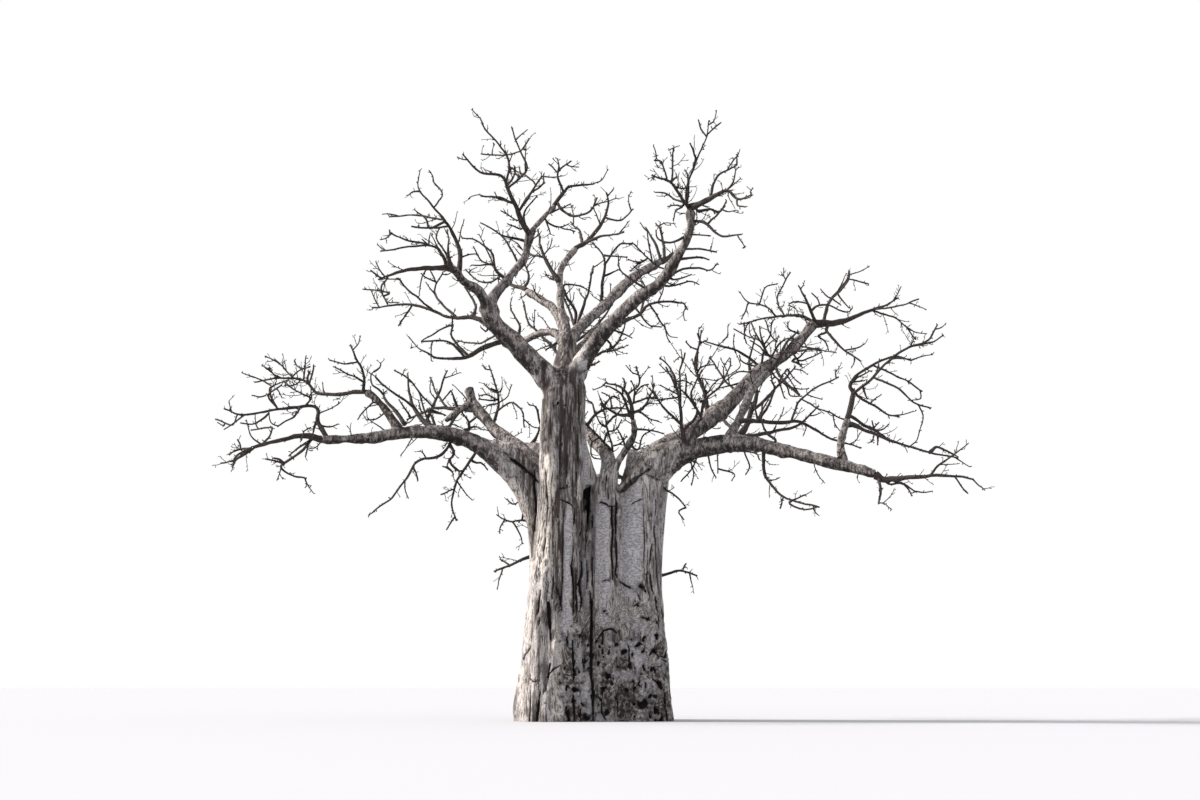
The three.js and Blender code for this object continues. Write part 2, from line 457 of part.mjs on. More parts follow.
    [-5.1, 8.95, 0.6], [-5.5, 9.6, 1.1], [-5.6, 10.4, 1.5],
  ], forks: [
    [0, 0.1, [[-5.4, 8.6, 0.8], [-6.3, 8.7, 1.4]]],
    [0, 0.3, [[-4.7, 9.7, 1.2], [-4.4, 10.5, 1.8]]],
    [0, 0.55, [[-6.1, 9.9, 0.5], [-6.6, 10.3, 0.2]]],
    [0, 0.05, [[-4.2, 9.0, 1.4], [-3.7, 9.8, 2.2]]],
  ] },
  { name: "back_right_twigs", on: "back_right_bough", girth: 0.22, stem: [
    [4.6, 8.9, 0.7], [4.9, 9.8, 1.3], [4.7, 10.7, 1.8], [4.9, 11.6, 2.0],
  ], forks: [
    [0, 0.08, [[5.2, 8.6, 0.4], [6.1, 8.8, 0.7], [6.8, 9.4, 0.9]]],
    [0, 0.35, [[5.6, 10.0, 1.0], [6.1, 10.6, 1.2]]],
    [0, 0.4, [[4.0, 10.2, 2.0], [3.5, 10.9, 2.4]]],
    [0, 0.1, [[3.9, 9.0, 1.6], [3.3, 9.6, 2.4]]],
  ] },
];

// Place in millimetres of a point seen at (across, up), moved along its line of sight to depth away.
function place([across, up, away]) {
  const spread = 1 + away / EYE.distance;
  return new THREE.Vector3(
    EYE.across + (across - EYE.across) * spread,
    away,
    EYE.height + (up - EYE.height) * spread,
  ).multiplyScalar(METRE);
}

// The same way back: where a place is seen, and its depth.
function seen(point) {
  const away = point.y / METRE;
  const spread = 1 + away / EYE.distance;
  return [
    EYE.across + (point.x / METRE - EYE.across) / spread,
    EYE.height + (point.z / METRE - EYE.height) / spread,
    away,
  ];
}

// Even random numbers from 0 to 1, the same in each run.
function seeded(seed) {
  let state = seed;
  return () => {
    state = (state + 0x6d2b79f5) | 0;
    let mixed = Math.imul(state ^ (state >>> 15), 1 | state);
    mixed = (mixed + Math.imul(mixed ^ (mixed >>> 7), 61 | mixed)) ^ mixed;
    return ((mixed ^ (mixed >>> 14)) >>> 0) / 4294967296;
  };
}

function smoothCurve(points) {
  return new THREE.CatmullRomCurve3(points, false, "catmullrom", 0.5);
}

// Radius of a bough or twig at a share of its way from root to tip.
function taperedRadius(limb, share) {
  const [root, tip] = limb.girth;
  const girth = tip + (root - tip) * (1 - share) ** TAPER;
  const collar = 1 + limb.collar * Math.exp((-share * limb.length) / (root * METRE));
  return (girth * collar * METRE) / 2;
}

// Radius of a trunk stem, from the girths given at its bends.
function stemRadius(stem, share) {
  const along = share * (stem.girths.length - 1);
  const before = Math.min(Math.floor(along), stem.girths.length - 2);
  const girth = THREE.MathUtils.lerp(stem.girths[before], stem.girths[before + 1], along - before);
  return (girth * METRE) / 2;
}

// Closed skin over a limb: rings of corners round its curve, joined, with a flat end each.
// grow widens it all round, which gives the tool that cuts its neighbours clear of it.
function limbSolid(limb, grow = 0) {
  const { curve, sides, rings } = limb;
  const corners = [];
  const faces = [];
  const headsAway = Math.abs(curve.getTangent(0).y) > STEEP;
  let side = headsAway ? new THREE.Vector3(0, 0, 1) : new THREE.Vector3(0, 1, 0);
  for (let ring = 0; ring <= rings; ring++) {
    const share = ring / rings;
    const heading = ring === 0 && limb.heading ? limb.heading.clone() : curve.getTangent(share);
    const centre = curve.getPoint(share);
    if (ring === 0) centre.addScaledVector(heading, -grow);
    if (ring === rings) centre.addScaledVector(heading, grow);
    side = side.clone().addScaledVector(heading, -side.dot(heading)).normalize();
    const over = heading.clone().cross(side);
    for (let k = 0; k < sides; k++) {
      const turn = (k / sides) * 2 * Math.PI;
      const flute = 1 + limb.flute * Math.cos(FLUTES * turn + limb.phase + share);
      const radius = limb.radius(share) * flute + grow;
      corners.push(
        centre.clone()
          .addScaledVector(side, Math.cos(turn) * radius)
          .addScaledVector(over, Math.sin(turn) * radius),
      );
    }
  }
  for (let ring = 0; ring < rings; ring++)
    for (let k = 0; k < sides; k++) {
      const a = ring * sides + k;
      const b = ring * sides + ((k + 1) % sides);
      faces.push([a, b, b + sides], [a, b + sides, a + sides]);
    }
  const last = rings * sides;
  for (let k = 1; k < sides - 1; k++) faces.push([0, k + 1, k], [last, last + k, last + k + 1]);
  return solidOf(corners, faces);
}

function solidOf(corners, faces) {
  return new wasm.Manifold(
    new wasm.Mesh({
      numProp: 3,
      vertProperties: new Float32Array(corners.flatMap((corner) => corner.toArray())),
      triVerts: new Uint32Array(faces.flat()),
    }),
  );
}

// Everything below the ground, for the flat cut.
function belowGround() {
  const size = 2 * TRUNK_WIDTH * METRE;
  const box = new THREE.BoxGeometry(size, size, size).translate(0, 0, -size / 2);
  box.deleteAttribute("normal");
  box.deleteAttribute("uv");
  const { index, attributes } = mergeVertices(box);
  const { array } = attributes.position;
  return new wasm.Manifold(
    new wasm.Mesh({ numProp: 3, vertProperties: array, triVerts: new Uint32Array(index.array) }),
  );
}

function joined(solids) {
  return solids.reduce((whole, solid) => whole.add(solid));
}

// The largest body of a solid: a scrap that a cut leaves behind is dropped.
function largest(solid) {
  return solid.decompose().reduce((best, body) => (body.volume() > best.volume() ? body : best));
}

function trunkStems() {
  return Object.values(stems).map((bends, index) => {
    const curve = smoothCurve(bends.map(place));
    const stem = {
      curve,
      sides: STEM_SIDES,
      rings: bends.length - 1,
      girths: bends.map((bend) => bend[3]),
      flute: FLUTE_DEPTH,
      phase: index,
    };
    stem.radius = (share) => stemRadius(stem, share);
    return stem;
  });
}

function limbOf(points, girth, { sides, ringsPerBend, heading = null, collar = COLLAR }) {
  const curve = smoothCurve(points);
  const limb = {
    curve,
    girth,
    sides,
    rings: (points.length - 1) * ringsPerBend,
    heading,
    collar,
    length: curve.getLength(),
    flute: 0,
    phase: 0,
  };
  limb.radius = (share) => taperedRadius(limb, share);
  return limb;
}

const twigShape = { sides: TWIG_SIDES, ringsPerBend: 1, collar: 0 };

// The point of a limb's axis that is seen nearest to (across, up).
function axisPoint(limb, across, up) {
  const samples = limb.curve.getPoints(AXIS_SAMPLES);
  const distance = (point) => {
    const [x, z] = seen(point);
    return Math.hypot(x - across, z - up);
  };
  return samples.reduce((best, point) => (distance(point) < distance(best) ? point : best));
}

// The root of a limb on its parent, and its heading there where it carries on from the tip.
function rootOn(parent, spec) {
  const [across, up, away] = spec.root ?? [];
  if (away !== undefined) return { point: place(spec.root), heading: null };
  if (across !== undefined) return { point: axisPoint(parent, across, up), heading: null };
  const heading = parent.curve.getTangent(1);
  return { point: parent.curve.getPoint(1).addScaledVector(heading, GAP * METRE), heading };
}

function growBoughs(limbs) {
  for (const spec of boughs) {
    const [first, ...rest] = spec.tip ? [undefined, ...spec.bends] : spec.bends;
    const root = rootOn(limbs.get(spec.on), { root: first });
    const points = [root.point, ...rest.map(place)];
    const shape = { sides: BOUGH_SIDES, ringsPerBend: BOUGH_RINGS, heading: root.heading };
    limbs.set(spec.name, limbOf(points, spec.girth, { ...shape, collar: spec.tip ? 0 : COLLAR }));
  }
}

// The stem and the forks of a mass, as limbs.
function massLimbs(spec, parent) {
  const root = rootOn(parent, spec);
  const depth = seen(root.point)[2];
  const deepened = ([across, up, away]) => place([across, up, depth + away]);
  const stem = [root.point, ...spec.stem.map(deepened)];
  const found = [limbOf(stem, [spec.girth, TIP_GIRTH], { ...twigShape, heading: root.heading })];
  for (const [of, share, bends] of spec.forks) {
    const source = found[of];
    const girth = Math.max((source.radius(share) * 2 * FORK_GIRTH) / METRE, TIP_GIRTH);
    const fork = [source.curve.getPoint(share), ...bends.map(deepened)];
    found.push(limbOf(fork, [girth, TIP_GIRTH], twigShape));
  }
  return found;
}

// Pieces of a limb's axis with their radius, for the clearance test.
function spansOf(limb, owner) {
  const steps = limb.rings * 2;
  return limb.curve.getPoints(steps).slice(1).map((end, i, all) => ({
    line: new THREE.Line3(i ? all[i - 1] : limb.curve.getPoint(0), end),
    radius: limb.radius(i / steps),
    owner,
  }));
}

// Whether a twig stays clear of every span that isn't beside its own root.
function isClear(points, radius, spans, owner, source) {
  const near = new THREE.Vector3();
  for (let i = 1; i < points.length; i++)
    for (const share of PROBES) {
      const probe = points[i - 1].clone().lerp(points[i], share);
      for (const span of spans) {
        if (span.owner === owner && span.limb === source) continue;
        const room = probe.distanceTo(span.line.closestPointToPoint(probe, true, near));
        if (room < span.radius + radius + TWIG.clear * METRE) return false;
      }
    }
  return true;
}

// Twigs along one limb of a mass: each leaves at an angle, rolled round from the last, and bends once.
function twigsOn(limb, random, accept) {
  const count = Math.floor(limb.length / (TWIG.spacing * METRE));
  let roll = random() * 2 * Math.PI;
  for (let i = 0; i < count; i++) {
    const share = (i + 1 - TWIG.placeDrift * random()) / count;
    roll += TWIG.roll + TWIG.rollDrift * (random() - 0.5);
    const heading = limb.curve.getTangent(share);
    const side = new THREE.Vector3(...ACROSS_TWIGS).cross(heading).normalize();
    const over = heading.clone().cross(side);
    const out = side.multiplyScalar(Math.cos(roll)).addScaledVector(over, Math.sin(roll));
    const length = TWIG.length * METRE * (TWIG.shortest + TWIG.longer * random()) * (1 - TWIG.fade * share);
    const toward = heading.multiplyScalar(Math.cos(TWIG.lean)).addScaledVector(out, Math.sin(TWIG.lean));
    const bend = new THREE.Vector3(random() - 0.5, random() - 0.5, random() - 0.5);
    const root = limb.curve.getPoint(share);
    const elbow = root.clone().addScaledVector(toward, length * TWIG.elbow);
    toward.addScaledVector(bend, TWIG.crook).add(new THREE.Vector3(0, 0, TWIG.lift)).normalize();
    accept([root, elbow, elbow.clone().addScaledVector(toward, length * (1 - TWIG.elbow))]);
  }
}

function meshOf(name, solid, material) {
  const { numProp, vertProperties, triVerts } = solid.getMesh();
  const geometry = new THREE.BufferGeometry();
  geometry.setAttribute("position", new THREE.BufferAttribute(new Float32Array(vertProperties), numProp));
  geometry.setIndex(new THREE.BufferAttribute(new Uint32Array(triVerts), 1));
  geometry.computeVertexNormals();
  const mesh = new THREE.Mesh(geometry, material);
  mesh.name = name;
  return mesh;
}

const bark = () => new THREE.MeshStandardMaterial({ color: 0x9b938b, roughness: 0.85, metalness: 0 });
const boughBark = () => new THREE.MeshStandardMaterial({ color: 0x7c726a, roughness: 0.85, metalness: 0 });
const twigBark = () => new THREE.MeshStandardMaterial({ color: 0x5a4f48, roughness: 0.9, metalness: 0 });

const tree = new THREE.Group();
tree.name = "baobab_tree";

const trunkParts = trunkStems();
const ground = belowGround();
const trunk = joined(trunkParts.map((stem) => limbSolid(stem))).subtract(ground);
const trunkTool = joined(trunkParts.map((stem) => limbSolid(stem, GAP * METRE)));
tree.add(meshOf("trunk", largest(trunk), bark()));

const limbs = new Map([["trunk", null]]);
growBoughs(limbs);

// Each limb is cut clear of its parent and of what was built before it on the same parent.
const built = [{ on: null, name: "trunk", tool: trunkTool }];
const cutClear = (solid, spec) =>
  largest(
    built
      .filter((other) => other.name === spec.on || other.on === spec.on)
      .reduce((rest, other) => rest.subtract(other.tool), solid),
  );
for (const spec of boughs) {
  const limb = limbs.get(spec.name);
  tree.add(meshOf(spec.name, cutClear(limbSolid(limb), spec), boughBark()));
  built.push({ on: spec.on, name: spec.name, tool: limbSolid(limb, GAP * METRE) });
}

// Every placed limb is known to the clearance test before the first twig grows.
const spans = trunkParts.flatMap((stem) => spansOf(stem, "trunk"));
for (const spec of boughs) spans.push(...spansOf(limbs.get(spec.name), spec.name));
const massParts = masses.map((spec) => massLimbs(spec, limbs.get(spec.on)));
masses.forEach((spec, index) =>
  massParts[index].forEach((limb, number) =>
    spans.push(...spansOf(limb, spec.name).map((span) => ({ ...span, limb: number }))),
  ),
);

masses.forEach((spec, index) => {
  const random = seeded(index + 1);
  const parts = massParts[index];
  const solids = parts.map((limb) => limbSolid(limb));
  parts.forEach((limb, number) =>
    twigsOn(limb, random, (points) => {
      if (!isClear(points, (TWIG.girth * METRE) / 2, spans, spec.name, number)) return;
      const twig = limbOf(points, [TWIG.girth, TWIG.girth * TWIG.tip], twigShape);
      solids.push(limbSolid(twig));
      spans.push(...spansOf(twig, spec.name).map((span) => ({ ...span, limb: -1 })));
    }),
  );
  tree.add(meshOf(spec.name, cutClear(joined(solids), spec), twigBark()));
  built.push({ on: spec.on, name: spec.name, tool: limbSolid(parts[0], GAP * METRE) });
});

export default tree;
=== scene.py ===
# A bare baobab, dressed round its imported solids: barked stems and boughs, and twigs down to the last spur.
import math

import bmesh
import bpy
import numpy as np
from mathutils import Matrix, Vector


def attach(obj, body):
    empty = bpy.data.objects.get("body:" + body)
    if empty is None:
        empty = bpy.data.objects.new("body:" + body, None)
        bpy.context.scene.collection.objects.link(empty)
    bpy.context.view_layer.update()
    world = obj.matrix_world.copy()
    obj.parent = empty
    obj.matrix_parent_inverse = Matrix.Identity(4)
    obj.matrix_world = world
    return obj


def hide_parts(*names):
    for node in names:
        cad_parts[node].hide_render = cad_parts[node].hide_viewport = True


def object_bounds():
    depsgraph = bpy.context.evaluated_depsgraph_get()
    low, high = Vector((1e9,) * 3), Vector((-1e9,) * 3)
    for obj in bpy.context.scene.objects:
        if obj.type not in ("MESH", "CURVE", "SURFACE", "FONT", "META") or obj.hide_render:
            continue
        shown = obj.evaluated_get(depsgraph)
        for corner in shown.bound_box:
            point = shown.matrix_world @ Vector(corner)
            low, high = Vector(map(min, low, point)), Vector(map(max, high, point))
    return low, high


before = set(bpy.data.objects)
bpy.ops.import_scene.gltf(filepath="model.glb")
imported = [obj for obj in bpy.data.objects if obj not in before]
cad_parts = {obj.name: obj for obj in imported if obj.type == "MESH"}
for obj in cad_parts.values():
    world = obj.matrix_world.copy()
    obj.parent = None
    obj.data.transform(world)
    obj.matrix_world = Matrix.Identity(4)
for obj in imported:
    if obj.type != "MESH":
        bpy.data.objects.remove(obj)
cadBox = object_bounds()
print("frame loaded with", len(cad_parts), "nodes")

body = "root"
cutDepth = 0.5  # metres that the stems run below the ground before the flat cut

# Depth is laid out along the lines of sight of an eye that looks at the tree from here, in metres.
eye = {"across": 0.2, "distance": 80.0, "height": 1.6}

# The trunk: each stem's bends as [across, up, away, girth], in metres.
stems = {
    "column": [
      [-1.17, -cutDepth, -0.7, 2.55], [-1.13, 0.9, -0.75, 2.2], [-1.07, 2.4, -0.82, 1.95],
      [-1.03, 3.9, -0.88, 1.8], [-0.98, 5.6, -0.9, 1.5], [-0.93, 7.3, -0.9, 1.42], [-0.95, 9, -0.9, 1.32],
      [-0.88, 9.95, -0.9, 1.28], [-0.85, 10.4, -0.9, 0.85],
    ],
    "shoulder": [
      [-1.1, -cutDepth, 0.3, 2.4], [-1.1, 2.2, 0.3, 1.85], [-1.12, 4.4, 0.2, 1.66],
      [-1.25, 5.9, 0.12, 1.55], [-1.75, 6.8, 0, 1.25], [-2.3, 7.37, -0.12, 0.94], [-2.75, 7.74, -0.25, 0.7],
    ],
    "narrow": [
      [0.45, -cutDepth, -0.95, 1.25], [0.42, 2.2, -1.05, 0.92], [0.4, 4.6, -1.02, 0.82],
      [0.38, 6.6, -0.85, 0.78], [0.5, 7.5, -0.72, 0.62],
    ],
    "right": [
      [1.3, -cutDepth, -0.35, 2.2], [1.27, 1.6, -0.42, 1.75], [1.22, 4.2, -0.48, 1.55],
      [1.25, 6, -0.45, 1.5], [1.42, 6.9, -0.42, 1.3], [1.75, 7.42, -0.42, 0.92], [2.1, 7.68, -0.45, 0.68],
    ],
    "outer": [
      [1.88, -cutDepth, 0.15, 1.1], [1.8, 1.8, 0.1, 0.82], [1.72, 4.2, 0.05, 0.66], [1.78, 5.8, 0, 0.66],
      [1.9, 6.9, -0.05, 0.62], [2.12, 7.45, -0.1, 0.45],
    ],
    "core": [
      [0.05, -cutDepth, 0.3, 3.9], [0.02, 2.4, 0.4, 3.3], [0.05, 5.2, 0.4, 3], [0.12, 6.8, 0.5, 2],
    ],
    "backLeft": [
      [-0.8, -cutDepth, 1.35, 2.2], [-0.72, 2.6, 1.3, 1.75], [-0.62, 5.4, 1.25, 1.5], [-0.62, 7, 1.45, 1.2],
      [-0.85, 7.9, 1.85, 0.8],
    ],
    "backRight": [
      [1.05, -cutDepth, 1.3, 2.2], [1, 2.6, 1.25, 1.75], [1, 5.4, 1.15, 1.5], [1.25, 6.8, 1.3, 1.2],
      [1.75, 7.55, 1.7, 0.8],
    ],
    "foot": [
      [-2.08, -cutDepth, -0.6, 0.75], [-2.02, 0.7, -0.6, 0.55], [-1.8, 1.7, -0.62, 0.25],
    ],
}


# The boughs, each after the one that it grows from: its girth at root and tip, and its bends.
# A bough marked tip carries on from the end of the one that it grows on; the others leave its side.
boughs = [
    dict(name="left_bough", on="trunk", girth=[0.6, 0.24], bends=[
      [-2.45, 7.45, -0.18], [-3.4, 8.2, -0.5], [-4.3, 8.56, -0.9], [-5.5, 8.62, -1.5], [-6.8, 8.45, -2.3],
      [-8.2, 8.4, -3],
    ]),
    dict(name="left_rise", on="left_bough", girth=[0.23, 0.15], bends=[
      [-5.8, 8.6], [-6.15, 9.15, -1.3], [-6.5, 9.6, -0.9], [-6.8, 9.82, -0.5],
    ]),
    dict(name="broken_bough", on="trunk", girth=[0.46, 0.27], bends=[
      [-1.5, 7.2, 0.6], [-2.1, 8, 1], [-2.6, 8.4, 1.4], [-3.1, 8.85, 1.8], [-3.55, 9.4, 2.1],
      [-3.76, 9.92, 2.3],
    ]),
    dict(name="broken_stub", on="broken_bough", girth=[0.22, 0.19], bends=[
      [-3.68, 9.55], [-4.1, 9.25, 1.85], [-4.45, 8.97, 1.75],
    ]),
    dict(name="upper_left_bough", on="trunk", girth=[0.66, 0.46], bends=[
      [-1, 9.75, -0.95], [-1.65, 10.55, -1.15], [-2.4, 11.35, -1.45], [-3.05, 12, -1.7],
      [-3.15, 12.45, -1.75],
    ]),
    dict(name="upper_left_fork", on="upper_left_bough", girth=[0.3, 0.22], bends=[
      [-3.12, 12.3], [-3.45, 12.9, -2.1], [-3.9, 13.2, -2.8], [-4.25, 13.6, -3.4],
    ]),
    dict(name="upper_left_rise", on="upper_left_bough", tip=True, girth=[0.34, 0.2], bends=[
      [-2.95, 12.85, -1.6], [-2.45, 13.45, -1.4], [-2.05, 14, -1.3], [-1.95, 14.7, -1.5],
    ]),
    dict(name="upper_left_arm", on="upper_left_rise", girth=[0.19, 0.15], bends=[
      [-1.96, 14.55], [-1.72, 14.95, -1.1], [-1.2, 15.5, -0.5],
    ]),
    dict(name="central_stem", on="trunk", girth=[0.62, 0.48], bends=[
      [-0.92, 9.95, -0.8], [-0.88, 10.5, -0.72], [-0.8, 11.1, -0.62], [-0.76, 11.6, -0.55],
    ]),
    dict(name="central_rise", on="central_stem", tip=True, girth=[0.27, 0.18], bends=[
      [-0.98, 12.4, -0.2], [-1, 13.1, 0.2], [-0.98, 13.6, 0.5], [-0.55, 14.2, 1],
    ]),
    dict(name="central_left_limb", on="central_stem", girth=[0.27, 0.18], bends=[
      [-0.76, 11.35], [-1.15, 12.3, 0.6], [-1.6, 12.65, 1.3], [-2, 12.9, 2],
    ]),
    dict(name="central_low_limb", on="central_stem", girth=[0.28, 0.18], bends=[
      [-0.8, 11.1], [-1.1, 11.6, 0.2], [-1.5, 11.65, 1], [-2.1, 11.4, 1.9],
    ]),
    dict(name="inner_right_bough", on="central_stem", girth=[0.37, 0.24], bends=[
      [-0.76, 11.35], [-0.4, 11.82, 0.1], [0.2, 12.35, 0.9], [0.95, 13.1, 1.9], [1.4, 13.46, 2.5],
      [2, 13.8, 3.2],
    ]),
    dict(name="inner_low_bough", on="central_stem", girth=[0.25, 0.16], bends=[
      [-0.8, 10.85], [-0.35, 11.25, 0.3], [0.2, 11.85, 1.4], [0.8, 11.9, 2.4],
    ]),
    dict(name="right_crown_bough", on="trunk", girth=[0.54, 0.22], bends=[
      [-0.78, 9.85, -1.05], [-0.28, 10.8, -1.3], [0.2, 11.55, -1.6], [0.75, 12.15, -1.9],
      [1.4, 12.75, -2.2], [2.05, 13.2, -2.5], [2.6, 14.05, -2.9], [2.92, 14.75, -3.1], [2.95, 15.35, -3.2],
    ]),
    dict(name="notch_limb", on="trunk", girth=[0.24, 0.15], bends=[
      [0.52, 7.3, -0.72], [0.88, 7.95, -0.95], [1.2, 8.5, -1.3], [1.2, 9, -1.6],
    ]),
    dict(name="notch_bough", on="trunk", girth=[0.46, 0.3], bends=[
      [0.5, 7.3, -0.65], [0.42, 7.9, -0.35], [0.05, 8.35, 0.3], [-0.25, 8.7, 1], [-0.75, 9.5, 2.3],
      [-0.8, 10.3, 3.4],
    ]),
    dict(name="right_bough", on="trunk", girth=[0.76, 0.44], bends=[
      [1.85, 7.5, -0.43], [2.6, 7.98, -0.7], [3.3, 8.17, -1], [4.3, 8.3, -1.5], [5, 8.25, -1.9],
    ]),
    dict(name="right_bough_outer", on="right_bough", tip=True, girth=[0.42, 0.3], bends=[
      [5.9, 8.03, -2.4], [6.9, 7.77, -2.9], [8, 7.5, -3.3], [8.45, 7.36, -3.45],
    ]),
    dict(name="right_upright", on="right_bough_outer", girth=[0.25, 0.19], bends=[
      [7.55, 7.63], [7.45, 8.1, -2.9], [7.5, 8.5, -2.7], [7.66, 8.98, -2.5],
    ]),
    dict(name="high_right_bough", on="trunk", girth=[0.68, 0.3], bends=[
      [1.55, 7.3, 0], [2.25, 8.08, 0.45], [2.9, 8.62, 0.9], [3.5, 9.02, 1.4], [4.3, 9.72, 2],
      [4.9, 10.36, 2.5], [5.5, 10.78, 2.9], [6.05, 11.2, 3.2], [6.65, 11.9, 3.5],
    ]),
    dict(name="right_inner_limb", on="right_bough", girth=[0.31, 0.21], bends=[
      [4, 8.27], [4.25, 8.75, -0.9], [4.55, 9.35, -0.3], [4.75, 9.85, 0.2], [5.25, 10.4, 0.8],
    ]),
    dict(name="back_left_bough", on="trunk", girth=[0.5, 0.28], bends=[
      [-0.8, 7.75, 1.8], [-1.8, 8.1, 2.9], [-3.2, 8.27, 4.1], [-4.4, 8.55, 5.1],
    ]),
    dict(name="back_right_bough", on="trunk", girth=[0.5, 0.28], bends=[
      [1.65, 7.45, 1.65], [2.4, 7.95, 2.6], [3.3, 8.17, 3.8], [4.2, 8.3, 5],
    ]),
]


